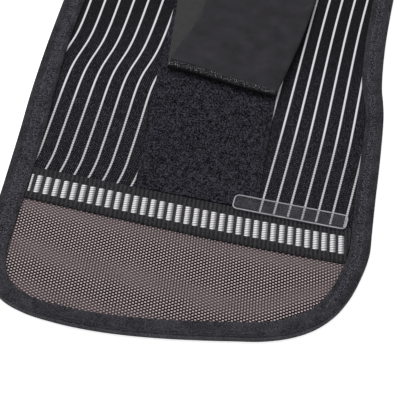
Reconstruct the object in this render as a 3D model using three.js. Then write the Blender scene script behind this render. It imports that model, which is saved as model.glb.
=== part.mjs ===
// A lumbar support belt, lying open on a flat surface with its outer side up.
//
// Millimetres, +Z up. The belt's length runs along Y, and the end with the clear tag is at low Y.
// The origin is the middle of the belt's footprint, on the surface that it lies on.
//
// While the belt is laid out, "across" is measured from the middle of the near ladder tape towards +X,
// and "along" from the tape's middle line towards +Y. Both ends are alike, mirrored about the belt's
// half length, apart from the tag and the closure pad, which only the near end has.

import * as THREE from 'three';

// Overall sizes
const beltLength = 880;
const beltWidth = 202.6;
const endDepth = 81;

// Thicknesses of the layers, from the surface up
const bindingWall = 1.3;
const webThickness = 2.0;
const tapeThickness = 1.2;
const loopThickness = 1.6;
const hookThickness = 1.3;
const strapThickness = 1.6;
const hemThickness = 2.4;
const tagThickness = 0.9;
const layerGap = 0.3;

// Widths and lengths of the pieces
const bindingWidth = 11;
const tapeWidth = 23.4;
const loopWidth = 67.5;
const loopLength = 246;
const strapWidth = 62;
const strapEndAlong = 88;
const strapHemLength = 4;
const hookTabWidth = 62.6;
const hookTabLength = 60;
const hookTabSetBack = 2;
const tagLength = 63;
const tagWidth = 10.2;
const tagCorner = 3;
const tagAlong = 12.7;
const tagToBinding = 2.6;
const closurePadWidth = 60;
const closurePadLength = 96;
const closurePadCorner = 6;
const closurePadAlong = -10;

// The loop panel follows the belt's own run, which leans to -X as it leaves the end, and the hook tab
// leans a little more
const panelLean = THREE.MathUtils.degToRad(4.7);
const tabLean = THREE.MathUtils.degToRad(8.1);
const loopStartAcross = 3.6;

// Shape of the binding's fold: insets of its lip, roll and nose as shares of bindingWall, the height of
// the lip's edge as a share of bindingWall and that of the nose as a share of layerGap
const lipInset = 1.5;
const rollInset = 1.8;
const noseInset = 0.5;
const lipHeight = 0.55;
const noseHeight = 0.5;

// The strap comes down from what it lies on in soft ramps, this far past the edge below it
const strapRamp = 14;
const pastTab = 4;
const pastLoop = 6;

// Half of the belt, from the tape's middle line to the mirror line
const halfSpan = beltLength / 2 - endDepth;
const farAlong = 2 * halfSpan;

// Outer edges of the belt. along is a share of halfSpan, left and right are shares of beltWidth
// measured from the tape's middle, and the bands are the binding's widths as shares of bindingWidth.
const sideRows = [
  { along: 0.000, left: -0.4945, right: 0.505, leftBand: 1.24, rightBand: 1.00 },
  { along: 0.095, left: -0.503, right: 0.486, leftBand: 1.26, rightBand: 1.00 },
  { along: 0.170, left: -0.5115, right: 0.4725, leftBand: 1.23, rightBand: 0.97 },
  { along: 0.250, left: -0.516, right: 0.4535, leftBand: 1.13, rightBand: 0.90 },
  { along: 0.310, left: -0.517, right: 0.4285, leftBand: 1.09, rightBand: 1.03 },
  { along: 0.430, left: -0.517, right: 0.4045, leftBand: 1.12, rightBand: 1.03 },
  { along: 0.620, left: -0.525, right: 0.392, leftBand: 1.10, rightBand: 1.03 },
  { along: 0.810, left: -0.533, right: 0.393, leftBand: 1.10, rightBand: 1.03 },
  { along: 1.000, left: -0.535, right: 0.394, leftBand: 1.10, rightBand: 1.03 },
];

// Rounded end, a chain of cubic curves from the left side round to the right side. across is a share
// of beltWidth and along a share of endDepth; each row gives a curve's two handles, its far end and the
// binding's width there.
const endStart = { across: -0.485, along: -0.440, band: 1.14 };
const endCurves = [
  { across1: -0.476, along1: -0.770, across2: -0.430, along2: -0.936, across: -0.333, along: -0.991, band: 0.82 },
  { across1: -0.161, along1: -1.082, across2: 0.046, along2: -0.984, across: 0.214, along: -0.895, band: 0.90 },
  { across1: 0.435, along1: -0.805, across2: 0.494, along2: -0.545, across: 0.505, along: -0.045, band: 1.00 },
];

// Middle line of the ladder tape, which sags a little between its ends. across is a share of beltWidth,
// along and width are shares of tapeWidth.
const tapeRows = [
  { across: -0.44, along: 0.026, width: 0.90 },
  { across: -0.20, along: -0.021, width: 0.95 },
  { across: 0.08, along: -0.064, width: 1.00 },
  { across: 0.30, along: -0.064, width: 1.00 },
  { across: 0.46, along: -0.043, width: 1.00 },
];

// Soft waves that the belt lies in. across is a share of beltWidth, along a share of farAlong, turn
// is the crest's angle from X, height is in mm, and the reaches are the wave's spread in mm towards
// low along, towards high along and along its crest.
const waveRows = [
  { across: -0.150, along: 0.118, turn: -16, height: 7.5, nearReach: 21, farReach: 38, sideReach: 40 },
  { across: 0.480, along: 0.130, turn: 0, height: 4.5, nearReach: 26, farReach: 32, sideReach: 28 },
  { across: -0.520, along: 0.340, turn: 14, height: 5.0, nearReach: 62, farReach: 66, sideReach: 60 },
  { across: 0.400, along: 0.470, turn: -10, height: 4.5, nearReach: 60, farReach: 66, sideReach: 58 },
  { across: -0.500, along: 0.660, turn: -12, height: 4.5, nearReach: 60, farReach: 62, sideReach: 60 },
  { across: 0.420, along: 0.820, turn: 12, height: 5.0, nearReach: 60, farReach: 60, sideReach: 56 },
];

// Middle line of the tension strap. along is a share of the run from the strap's end to the mirror
// line, across is a share of beltWidth, and width is a share of strapWidth.
const strapRows = [
  { along: 0.00, across: -0.001, width: 1.00 },
  { along: 0.02, across: 0.000, width: 1.00 },
  { along: 0.06, across: 0.009, width: 1.00 },
  { along: 0.12, across: 0.022, width: 0.975 },
  { along: 0.20, across: 0.033, width: 0.97 },
  { along: 0.32, across: 0.038, width: 0.97 },
  { along: 0.50, across: 0.022, width: 0.97 },
  { along: 0.75, across: -0.035, width: 0.97 },
  { along: 1.00, across: -0.072, width: 0.97 },
];

// How finely the surfaces are divided
const endSteps = [5, 6, 7];
const webColumns = 20;
const panelRows = 5;
const tapeRowCount = 2;
const loopColumns = 7;
const tabRowCount = 9;
const strapColumns = 6;
const webRowSpacing = 7;
const edgeRowSpacing = 9;
const plainRowSpacing = 24;
const nearRowsReach = 150;
const strapRowSpacing = 9;
const strapPlainSpacing = 14;
const strapNearReach = 70;
const cornerSegments = 5;

// Colours, as seen in soft daylight
const finish = (color, roughness) => new THREE.MeshStandardMaterial({ color, roughness, metalness: 0 });
const finishes = {
  elastic: () => finish(0x1b1b1f, 0.85),
  nylon: () => finish(0x685f60, 0.7),
  webbing: () => finish(0x2a292c, 0.75),
  pile: () => finish(0x27262c, 0.95),
  strap: () => finish(0x343236, 0.8),
  binding: () => finish(0x343238, 0.9),
  hooks: () => finish(0x1f1e22, 0.6),
  clearPlastic: () => finish(0xb8b9bc, 0.25),
};

// A smooth curve through a table's rows, read at any place along the column named by
function readRows(rows, key, at, by = 'along') {
  const last = rows.length - 1;
  const place = THREE.MathUtils.clamp(at, rows[0][by], rows[last][by]);
  let row = 0;
  while (row < last - 1 && rows[row + 1][by] < place) row += 1;
  const slopeAt = (index) => {
    const before = rows[Math.max(index - 1, 0)];
    const after = rows[Math.min(index + 1, last)];
    return (after[key] - before[key]) / (after[by] - before[by]);
  };
  const step = rows[row + 1][by] - rows[row][by];
  const t = (place - rows[row][by]) / step;
  const endSlope = row + 1 === last ? 0 : slopeAt(row + 1);
  const startTerm = (2 * t ** 3 - 3 * t ** 2 + 1) * rows[row][key];
  const startSlopeTerm = (t ** 3 - 2 * t ** 2 + t) * step * slopeAt(row);
  const endTerm = (-2 * t ** 3 + 3 * t ** 2) * rows[row + 1][key];
  const endSlopeTerm = (t ** 3 - t ** 2) * step * endSlope;
  return startTerm + startSlopeTerm + endTerm + endSlopeTerm;
}

// Both halves are alike, so a place past the mirror line is read at its mirror image
const mirrored = (along) => (along > halfSpan ? farAlong - along : along);

// Height of the waves above a belt that lies flat
function wave(across, along) {
  let height = 0;
  for (const row of waveRows) {
    const turn = THREE.MathUtils.degToRad(row.turn);
    const offAcross = across - row.across * beltWidth;
    const offAlong = along - row.along * farAlong;
    const off = offAlong * Math.cos(turn) - offAcross * Math.sin(turn);
    const beside = offAlong * Math.sin(turn) + offAcross * Math.cos(turn);
    const reach = off < 0 ? row.nearReach : row.farReach;
    height += row.height * Math.exp(-((off / reach) ** 2)) * Math.exp(-((beside / row.sideReach) ** 2));
  }
  return height;
}

// Levels of the layers, each one layerGap above the last
const webBottom = (across, along) => bindingWall + layerGap + wave(across, along);
const webTop = (across, along) => webBottom(across, along) + webThickness;
const onWeb = (across, along) => webTop(across, along) + layerGap;
const loopTop = (across, along) => onWeb(across, along) + loopThickness;

// A closed sheet over a grid of plan points, with a lower and an upper face and a wall round its edge
function sheet(rows, columns, planPoint, lower, upper) {
  const position = [];
  for (const level of [upper, lower]) {
    for (let row = 0; row <= rows; row += 1) {
      for (let column = 0; column <= columns; column += 1) {
        const [across, along] = planPoint(column / columns, row / rows, column, row);
        position.push(across, along, level(across, along, column, row));
      }
    }
  }
  const underside = (rows + 1) * (columns + 1);
  const at = (row, column) => row * (columns + 1) + column;
  const index = [];
  const quad = (a, b, c, d) => index.push(a, b, c, a, c, d);
  for (let row = 0; row < rows; row += 1) {
    for (let column = 0; column < columns; column += 1) {
      const corners = [at(row, column), at(row, column + 1), at(row + 1, column + 1), at(row + 1, column)];
      quad(...corners);
      quad(...corners.reverse().map((corner) => corner + underside));
    }
  }
  const wall = (a, b) => quad(a + underside, b + underside, b, a);
  for (let column = 0; column < columns; column += 1) {
    wall(at(0, column), at(0, column + 1));
    wall(at(rows, column + 1), at(rows, column));
  }
  for (let row = 0; row < rows; row += 1) {
    wall(at(row, columns), at(row + 1, columns));
    wall(at(row + 1, 0), at(row, 0));
  }
  return closedGeometry(position, index);
}

function closedGeometry(position, index) {
  const geometry = new THREE.BufferGeometry();
  geometry.setAttribute('position', new THREE.Float32BufferAttribute(position, 3));
  geometry.setIndex(index);
  geometry.computeVertexNormals();
  return geometry;
}

// Places of the rows of a long piece: close together over the waves of the near end, wider beyond
function rowPlaces(from, to, spacing) {
  const places = [from];
  const nearEnd = Math.min(nearRowsReach, to);
  const nearCount = Math.max(1, Math.round((nearEnd - from) / spacing));
  for (let step = 1; step <= nearCount; step += 1) places.push(from + ((nearEnd - from) * step) / nearCount);
  if (to > nearEnd) {
    const plainCount = Math.ceil((to - nearEnd) / plainRowSpacing);
    for (let step = 1; step <= plainCount; step += 1) places.push(nearEnd + ((to - nearEnd) * step) / plainCount);
  }
  return places;
}

// Outline of the belt, anticlockwise from the middle of the left side, round the near end. A station
// is a point of it and the binding's width there.
function endStations() {
  const point = (across, along) => new THREE.Vector2(across * beltWidth, along * endDepth);
  const stations = [];
  let from = endStart;
  endCurves.forEach((row, number) => {
    const handle1 = point(row.across1, row.along1);
    const handle2 = point(row.across2, row.along2);
    const start = point(from.across, from.along);
    const curve = new THREE.CubicBezierCurve(start, handle1, handle2, point(row.across, row.along));
    for (let step = 0; step < endSteps[number]; step += 1) {
      const share = step / endSteps[number];
      stations.push({ point: curve.getPoint(share), band: THREE.MathUtils.lerp(from.band, row.band, share) });
    }
    from = row;
  });
  return stations;
}

const sideBand = (side, along) => readRows(sideRows, `${side}Band`, mirrored(along) / halfSpan);

function sideStation(side, along) {
  const across = readRows(sideRows, side, mirrored(along) / halfSpan) * beltWidth;
  return { point: new THREE.Vector2(across, along), band: sideBand(side, along) };
}

// The whole outline, with the inward direction at each station
function fullOutline() {
  const places = rowPlaces(0, farAlong, edgeRowSpacing);
  const nearEnd = endStations();
  const farEnd = nearEnd.map(({ point, band }) => ({ point: new THREE.Vector2(point.x, farAlong - point.y), band }));
  const rightSide = places.map((along) => sideStation('right', along));
  const leftSide = places.map((along) => sideStation('left', along)).reverse();
  const stations = [...nearEnd, ...rightSide, ...farEnd.reverse(), ...leftSide];
  const count = stations.length;
  return stations.map((station, number) => {
    const before = stations[(number + count - 1) % count].point;
    const after = stations[(number + 1) % count].point;
    const run = after.clone().sub(before).normalize();
    return { ...station, inward: new THREE.Vector2(-run.y, run.x) };
  });
}

const outline = fullOutline();

// Inset of the web's edge inside the folded binding
const slotDepth = bindingWall + layerGap;
const webInset = slotDepth + layerGap;

// Across place of a side edge, read between two stations of the outline and moved in by an inset
function sideEdge(side, along, inset) {
  const sign = side === 'left' ? -1 : 1;
  const outermost = outline.flatMap(({ point: from }, number) => {
    const { point: to } = outline[(number + 1) % outline.length];
    const passes = (from.y - along) * (to.y - along) <= 0 && from.y !== to.y;
    return passes ? [THREE.MathUtils.mapLinear(along, from.y, to.y, from.x, to.x) * sign] : [];
  });
  return sign * (Math.max(...outermost) - inset);
}

// Place of the binding's inner edge on one side, less a gap
const besideBinding = (side, along, gap) => sideEdge(side, along, bindingWidth * sideBand(side, along) + gap);

// Stretch knit binding, folded round the whole edge: a U section carried along the outline
function edgeBinding() {
  const section = (band) => {
    const width = band * bindingWidth;
    const top = layerGap + bindingWall;
    const lip = layerGap + bindingWall * lipHeight;
    const nose = layerGap * noseHeight;
    return [
      { inset: width, side: 'top', rise: layerGap },
      { inset: width, side: 'top', rise: lip },
      { inset: width - bindingWall * lipInset, side: 'top', rise: top },
      { inset: bindingWall * rollInset, side: 'top', rise: top },
      { inset: bindingWall * noseInset, side: 'top', rise: nose },
      { inset: 0, side: 'middle', rise: 0 },
      { inset: bindingWall * noseInset, side: 'bottom', rise: nose },
      { inset: bindingWall * rollInset, side: 'bottom', rise: top },
      { inset: width - bindingWall * lipInset, side: 'bottom', rise: top },
      { inset: width, side: 'bottom', rise: lip },
      { inset: width, side: 'bottom', rise: layerGap },
      { inset: slotDepth, side: 'bottom', rise: layerGap },
      { inset: slotDepth, side: 'top', rise: layerGap },
    ];
  };
  const position = [];
  let sectionSize = 0;
  for (const { point, inward, band } of outline) {
    const corners = section(band);
    sectionSize = corners.length;
    for (const { inset, side, rise } of corners) {
      const across = point.x + inward.x * inset;
      const along = point.y + inward.y * inset;
      const level = {
        top: webTop(across, along) + rise,
        middle: (webTop(across, along) + webBottom(across, along)) / 2,
        bottom: webBottom(across, along) - rise,
      };
      position.push(across, along, level[side]);
    }
  }
  const index = [];
  for (let station = 0; station < outline.length; station += 1) {
    const next = (station + 1) % outline.length;
    for (let corner = 0; corner < sectionSize; corner += 1) {
      const nextCorner = (corner + 1) % sectionSize;
      const a = station * sectionSize + corner;
      const b = station * sectionSize + nextCorner;
      const c = next * sectionSize + nextCorner;
      const d = next * sectionSize + corner;
      index.push(a, b, c, a, c, d);
    }
  }
  return closedGeometry(position, index);
}

// Striped elastic web between the two tapes' middle lines
function elasticBody() {
  const join = layerGap / 2;
  const places = rowPlaces(join, farAlong - join, webRowSpacing);
  const planPoint = (u, v, column, row) => {
    const along = places[row];
    const left = sideEdge('left', along, webInset);
    const right = sideEdge('right', along, webInset);
    return [THREE.MathUtils.lerp(left, right, u), along];
  };
  return sheet(places.length - 1, webColumns, planPoint, webBottom, webTop);
}

// Nylon end panel, from the tape's middle line round the rounded end. Its columns end at the same
// stations as the binding's, so the two stay parallel all round the corners.
function endPanel(far) {
  const rim = outline.slice(0, endStations().length);
  const join = layerGap / 2;
  const columns = rim.length - 1;
  const planPoint = (u, v, column) => {
    const { point, inward } = rim[column];
    const eased = (1 - Math.cos(Math.PI * u)) / 2;
    const joinAcross = THREE.MathUtils.lerp(sideEdge('left', 0, webInset), sideEdge('right', 0, webInset), eased);
    const share = far ? 1 - v : v;
    const across = THREE.MathUtils.lerp(point.x + inward.x * webInset, joinAcross, share);
    const along = THREE.MathUtils.lerp(point.y + inward.y * webInset, -join, share);
    return [across, far ? farAlong - along : along];
  };
  return sheet(panelRows, columns, planPoint, webBottom, webTop);
}

// Place along of the tape at a share of its width, from -0.5 at its edge on the nylon to 0.5
function tapeLine(across, widthShare) {
  const share = across / beltWidth;
  const middle = readRows(tapeRows, 'along', share, 'across');
  const width = readRows(tapeRows, 'width', share, 'across');
  return tapeWidth * (middle + width * widthShare);
}

// Ladder tape, laid over the join between nylon and elastic, from binding to binding
function ladderTape(far) {
  const planPoint = (u, v) => {
    const widthShare = (far ? 1 - v : v) - 0.5;
    const edgePlace = (side) => {
      const along = tapeLine(besideBinding(side, 0, layerGap), widthShare);
      return besideBinding(side, along, layerGap);
    };
    const across = THREE.MathUtils.lerp(edgePlace('left'), edgePlace('right'), u);
    const along = tapeLine(across, widthShare);
    return [across, far ? farAlong - along : along];
  };
  const tapeTop = (across, along) => onWeb(across, along) + tapeThickness;
  return sheet(tapeRowCount, webColumns, planPoint, onWeb, tapeTop);
}

// A straight panel that leans to -X, given by its start, width, length and lean
function leaningPlan(far, { startAcross, startAlong, width, length, lean }) {
  return (u, v) => {
    const forward = far ? 1 - v : v;
    const along = startAlong + forward * length * Math.cos(lean);
    const middle = startAcross - forward * length * Math.sin(lean);
    const across = middle + ((u - 0.5) * width) / Math.cos(lean);
    return [across, far ? farAlong - along : along];
  };
}

// The loop panel starts clear of the tape's edge at both of its own sides
const loopSides = [loopStartAcross - loopWidth / 2, loopStartAcross + loopWidth / 2];
const loopStart = Math.max(...loopSides.map((across) => tapeLine(across, 0.5))) + layerGap;

function loopPanel(far) {
  const places = rowPlaces(0, loopLength, far ? plainRowSpacing : webRowSpacing);
  const place = { startAcross: loopStartAcross, startAlong: loopStart };
  const plan = leaningPlan(far, { ...place, width: loopWidth, length: loopLength, lean: panelLean });
  const last = places.length - 1;
  const planPoint = (u, v, column, row) => {
    const share = places[far ? last - row : row] / loopLength;
    return plan(u, far ? 1 - share : share);
  };
  return sheet(last, loopColumns, planPoint, onWeb, loopTop);
}

const tabBottom = (across, along) => loopTop(across, along) + layerGap;

// Hook tab, sewn under the strap's end
function hookTab(far) {
  const place = { startAcross: strapMiddle(strapEndAlong), startAlong: tabStart };
  const plan = leaningPlan(far, { ...place, width: hookTabWidth, length: hookTabLength, lean: tabLean });
  const tabTop = (across, along) => tabBottom(across, along) + hookThickness;
  return sheet(tabRowCount, strapColumns, plan, tabBottom, tabTop);
}

// Tension strap: one band that runs from the near hem over the belt's back to the far hem
const strapRun = halfSpan - strapEndAlong;
const strapShare = (along) => (mirrored(along) - strapEndAlong) / strapRun;
const strapMiddle = (along) => readRows(strapRows, 'across', strapShare(along)) * beltWidth;

function strapLeanAtEnd() {
  const step = strapRun / 100;
  return Math.atan((strapMiddle(strapEndAlong + step) - strapMiddle(strapEndAlong)) / step);
}

const tabStart = strapEndAlong + hookTabSetBack + strapWidth * 0.5 * Math.tan(strapLeanAtEnd());

// Level of the strap's underside above the web: over the tab and loop panel near an end, then down
function strapUnderside(along) {
  const fromEnd = mirrored(along) - strapEndAlong;
  const overWeb = layerGap;
  const overLoop = loopThickness + 2 * layerGap;
  const overTab = overLoop + hookThickness + layerGap;
  const tabEnd = tabStart + hookTabLength - strapEndAlong + pastTab;
  const loopEnd = loopStart + loopLength - strapEndAlong + pastLoop;
  const offTab = THREE.MathUtils.smoothstep(fromEnd, tabEnd, tabEnd + strapRamp);
  const offLoop = THREE.MathUtils.smoothstep(fromEnd, loopEnd, loopEnd + strapRamp);
  return overTab - (overTab - overLoop) * offTab - (overLoop - overWeb) * offLoop;
}

function tensionStrap() {
  const nearPlaces = [0, strapHemLength];
  for (let place = strapHemLength + 1; place < strapRun;) {
    nearPlaces.push(place);
    place += place < strapNearReach ? strapRowSpacing : strapPlainSpacing;
  }
  const places = nearPlaces.map((place) => strapEndAlong + place);
  const farPlaces = [...places].reverse().map((place) => farAlong - place);
  const rows = [...places, halfSpan, ...farPlaces];
  const planPoint = (u, v, column, row) => {
    const along = rows[row];
    const step = 1;
    const middle = strapMiddle(along);
    const run = new THREE.Vector2(strapMiddle(along + step) - strapMiddle(along - step), 2 * step);
    if (row === 0) run.set(strapMiddle(along + step) - middle, step);
    if (row === rows.length - 1) run.set(middle - strapMiddle(along - step), step);
    run.normalize();
    const beside = (u - 0.5) * strapWidth * readRows(strapRows, 'width', strapShare(along));
    return [middle + beside * run.y, along - beside * run.x];
  };
  const underside = (across, along, column, row) => webTop(across, along) + strapUnderside(rows[row]);
  const topside = (across, along, column, row) => {
    const atHem = row < 2 || row > rows.length - 3;
    return underside(across, along, column, row) + (atHem ? hemThickness : strapThickness);
  };
  return sheet(rows.length - 1, strapColumns, planPoint, underside, topside);
}

// Rounded rectangle, its corners as arcs
function roundedRectangle(length, width, corner) {
  const shape = new THREE.Shape();
  const [x, y] = [length / 2, width / 2];
  shape.moveTo(-x + corner, -y);
  shape.lineTo(x - corner, -y);
  shape.absarc(x - corner, -y + corner, corner, -Math.PI / 2, 0);
  shape.lineTo(x, y - corner);
  shape.absarc(x - corner, y - corner, corner, 0, Math.PI / 2);
  shape.lineTo(-x + corner, y);
  shape.absarc(-x + corner, y - corner, corner, Math.PI / 2, Math.PI);
  shape.lineTo(-x, -y + corner);
  shape.absarc(-x + corner, -y + corner, corner, Math.PI, 1.5 * Math.PI);
  return shape;
}

function plate(length, width, corner, depth) {
  const shape = roundedRectangle(length, width, corner);
  return new THREE.ExtrudeGeometry(shape, { depth, bevelEnabled: false, curveSegments: cornerSegments });
}

// The assembly
const belt = new THREE.Group();

function addPiece(name, geometry, material) {
  const piece = new THREE.Mesh(geometry, material);
  piece.name = name;
  belt.add(piece);
  return piece;
}

addPiece('elastic_body', elasticBody(), finishes.elastic());
for (const end of ['near', 'far']) {
  const far = end === 'far';
  addPiece(`end_panel_${end}`, endPanel(far), finishes.nylon());
  addPiece(`ladder_tape_${end}`, ladderTape(far), finishes.webbing());
  addPiece(`loop_panel_${end}`, loopPanel(far), finishes.pile());
  addPiece(`strap_hook_tab_${end}`, hookTab(far), finishes.hooks());
}
addPiece('tension_strap', tensionStrap(), finishes.strap());
addPiece('edge_binding', edgeBinding(), finishes.binding());

// The clear bare tag lies on the loop panel and the tape's border, and ends beside the binding
const tagPlate = plate(tagLength, tagWidth, tagCorner, tagThickness);
const tag = addPiece('tag', tagPlate, finishes.clearPlastic());
const tagAcross = besideBinding('right', tagAlong, tagToBinding) - tagLength / 2;
tag.position.set(tagAcross, tagAlong, webTop(0, 0) + 2 * layerGap + loopThickness);

// The hook pad under the near end is flat below, where it rests, and close under the web above
const padPlate = plate(closurePadWidth, closurePadLength, closurePadCorner, hookThickness);
const pad = addPiece('closure_hook_pad', padPlate, finishes.hooks());
pad.position.set(loopStartAcross, closurePadAlong, 0);
pad.rotation.z = panelLean;

// Origin at the middle of the footprint
belt.updateMatrixWorld(true);
const footprint = new THREE.Box3().setFromObject(belt);
const middle = footprint.getCenter(new THREE.Vector3());
belt.position.set(-middle.x, -middle.y, -footprint.min.z);
belt.updateMatrixWorld(true);

export default belt;
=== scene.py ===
# %% [markdown]
# # A lumbar support belt, laid open
#
# The belt is a wide band of striped elastic with a stiff nylon panel at each end, a knit binding folded
# round its whole edge, and a second strap over the wearer's back. It lies on a table with its outer side up.
# Every piece here is cloth of some kind, so each one is the same idea twice: a thin sheet that follows the
# soft waves the belt lies in, and a weave, pile or knit that belongs to that cloth alone.
#
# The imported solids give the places. This script lays finer cloth in the same places.

import math

import bpy
import numpy as np
from mathutils import Matrix, Vector


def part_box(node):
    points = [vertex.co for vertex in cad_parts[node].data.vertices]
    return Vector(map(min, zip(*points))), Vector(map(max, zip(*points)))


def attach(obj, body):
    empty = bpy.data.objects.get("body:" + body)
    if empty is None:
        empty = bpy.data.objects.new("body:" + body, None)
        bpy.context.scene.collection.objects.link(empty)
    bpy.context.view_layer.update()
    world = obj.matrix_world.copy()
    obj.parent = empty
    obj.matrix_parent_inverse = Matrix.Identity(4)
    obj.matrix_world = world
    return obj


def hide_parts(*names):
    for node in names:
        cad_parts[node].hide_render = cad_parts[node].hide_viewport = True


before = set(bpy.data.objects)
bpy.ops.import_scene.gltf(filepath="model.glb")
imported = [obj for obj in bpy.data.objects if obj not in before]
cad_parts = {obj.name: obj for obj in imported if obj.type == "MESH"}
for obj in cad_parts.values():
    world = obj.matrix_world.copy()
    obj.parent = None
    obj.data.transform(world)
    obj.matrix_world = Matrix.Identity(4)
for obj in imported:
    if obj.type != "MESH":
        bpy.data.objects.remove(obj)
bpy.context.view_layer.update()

# %% [markdown]
# ## The layout
#
# A pattern cutter draws the belt flat and measures it from one seam. Here that seam is the middle line of
# the near ladder tape: "across" runs towards +X from its middle and "along" runs towards +Y, both in
# millimetres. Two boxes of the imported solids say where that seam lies. One function turns layout
# millimetres into metres, so no other line has to think about units.

# %% Layout sizes, in millimetres
MM = 0.001
BELT_WIDTH = 202.6
END_DEPTH = 81.0
BINDING_WALL = 1.3
WEB_THICKNESS = 2.0
TAPE_THICKNESS = 1.2
LOOP_THICKNESS = 1.6
HOOK_THICKNESS = 1.3
STRAP_THICKNESS = 1.6
HEM_THICKNESS = 2.4
LAYER_GAP = 0.3
BINDING_WIDTH = 11.0
TAPE_WIDTH = 23.4
LOOP_WIDTH = 67.5
LOOP_LENGTH = 246.0
STRAP_WIDTH = 62.0
STRAP_END_ALONG = 88.0
STRAP_HEM_LENGTH = 4.0
HOOK_TAB_WIDTH = 62.6
HOOK_TAB_LENGTH = 60.0
HOOK_TAB_SET_BACK = 2.0
PANEL_LEAN = math.radians(4.7)
TAB_LEAN = math.radians(8.1)
LOOP_START_ACROSS = 3.6

web_low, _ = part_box("elastic_body")
pad_low, pad_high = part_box("closure_hook_pad")
ALONG_ZERO = web_low.y / MM - LAYER_GAP / 2
ACROSS_ZERO = (pad_low.x + pad_high.x) / 2 / MM - LOOP_START_ACROSS
HALF_SPAN = -ALONG_ZERO
FAR_ALONG = 2 * HALF_SPAN
print(f"seam at across {ACROSS_ZERO:.2f}, along {ALONG_ZERO:.2f} mm, half span {HALF_SPAN:.1f} mm")


def to_frame(across, along, level):
    """Layout millimetres as points in the row frame: the seam's place is added, and metres come out."""
    across, along, level = np.broadcast_arrays(across, along, level)
    return np.stack([across + ACROSS_ZERO, along + ALONG_ZERO, level], axis=-1) * MM


# %% [markdown]
# ## Outline and waves
#
# The belt's edge is contoured: it narrows towards the back on one side and has rounded ends. A short table
# gives the sides, three cubic curves give the round of an end, and a closed smooth line runs through the
# stations. The waves are six soft humps, each steeper on one side, as cloth has after it was folded.

# %% Tables of the outline, the waves and the strap
SIDES = {
    "along": [0.000, 0.095, 0.170, 0.250, 0.310, 0.430, 0.620, 0.810, 1.000],
    "left": [-0.4945, -0.503, -0.5115, -0.516, -0.517, -0.517, -0.525, -0.533, -0.535],
    "right": [0.505, 0.486, 0.4725, 0.4535, 0.4285, 0.4045, 0.392, 0.393, 0.394],
    "left band": [1.24, 1.26, 1.23, 1.13, 1.09, 1.12, 1.10, 1.10, 1.10],
    "right band": [1.00, 1.00, 0.97, 0.90, 1.03, 1.03, 1.03, 1.03, 1.03],
}
END_START = {"to": (-0.485, -0.440), "band": 1.14}
END_CURVES = [
    {"handle1": (-0.476, -0.770), "handle2": (-0.430, -0.936),
     "to": (-0.333, -0.991), "band": 0.82, "steps": 5},
    {"handle1": (-0.161, -1.082), "handle2": (0.046, -0.984),
     "to": (0.214, -0.895), "band": 0.90, "steps": 6},
    {"handle1": (0.435, -0.805), "handle2": (0.494, -0.545),
     "to": (0.505, -0.045), "band": 1.00, "steps": 7},
]
TAPE = {
    "across": [-0.44, -0.20, 0.08, 0.30, 0.46],
    "along": [0.026, -0.021, -0.064, -0.064, -0.043],
    "width": [0.90, 0.95, 1.00, 1.00, 1.00],
}
WAVES = [
    {"across": -0.150, "along": 0.118, "turn": -16, "height": 7.5, "near": 21, "far": 38, "side": 40},
    {"across": 0.480, "along": 0.130, "turn": 0, "height": 4.5, "near": 26, "far": 32, "side": 28},
    {"across": -0.520, "along": 0.340, "turn": 14, "height": 5.0, "near": 62, "far": 66, "side": 60},
    {"across": 0.400, "along": 0.470, "turn": -10, "height": 4.5, "near": 60, "far": 66, "side": 58},
    {"across": -0.500, "along": 0.660, "turn": -12, "height": 4.5, "near": 60, "far": 62, "side": 60},
    {"across": 0.420, "along": 0.820, "turn": 12, "height": 5.0, "near": 60, "far": 60, "side": 56},
]
STRAP = {
    "along": [0.00, 0.02, 0.06, 0.12, 0.20, 0.32, 0.50, 0.75, 1.00],
    "across": [-0.001, 0.000, 0.009, 0.022, 0.033, 0.038, 0.022, -0.035, -0.072],
    "width": [1.00, 1.00, 1.00, 0.975, 0.97, 0.97, 0.97, 0.97, 0.97],
}


def smooth_step(value, low, high):
    """0 below low, 1 above high, and between them 3t^2 - 2t^3 of the share t of the way."""
    t = np.clip((value - low) / (high - low), 0, 1)
    return t * t * (3 - 2 * t)


def hermite(t, step, start, start_slope, end, end_slope):
    """The cubic that leaves start with one slope and reaches end with the other; t is the share of step."""
    return ((2 * t**3 - 3 * t**2 + 1) * start + (t**3 - 2 * t**2 + t) * step * start_slope
            + (3 * t**2 - 2 * t**3) * end + (t**3 - t**2) * step * end_slope)


def read_table(table, column, at, by="along"):
    """A smooth curve through a table: each row's slope is that of the line between its two neighbours,
    and the last row's is 0, because the belt is mirrored there."""
    places, values = np.array(table[by]), np.array(table[column])
    slopes = np.zeros_like(values)
    slopes[1:-1] = (values[2:] - values[:-2]) / (places[2:] - places[:-2])
    slopes[0] = (values[1] - values[0]) / (places[1] - places[0])
    at = np.clip(at, places[0], places[-1])
    row = np.clip(np.searchsorted(places, at) - 1, 0, len(places) - 2)
    step = places[row + 1] - places[row]
    return hermite((at - places[row]) / step, step, values[row], slopes[row],
                   values[row + 1], slopes[row + 1])


def tape_line(across, width_share):
    """Place along of the tape at a share of its width, from -0.5 on the nylon side to 0.5. The tape sags a
    little between its ends, so its middle line and its width are read from the table."""
    share = across / BELT_WIDTH
    middle, width = (read_table(TAPE, column, share, by="across") for column in ("along", "width"))
    return TAPE_WIDTH * (middle + width * width_share)


panel_sides = LOOP_START_ACROSS + np.array([-0.5, 0.5]) * LOOP_WIDTH
LOOP_START_ALONG = float(tape_line(panel_sides, 0.5).max()) + LAYER_GAP


def mirrored(along):
    """A place past the mirror line is read at its mirror image."""
    return np.where(along > HALF_SPAN, FAR_ALONG - along, along)


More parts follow.
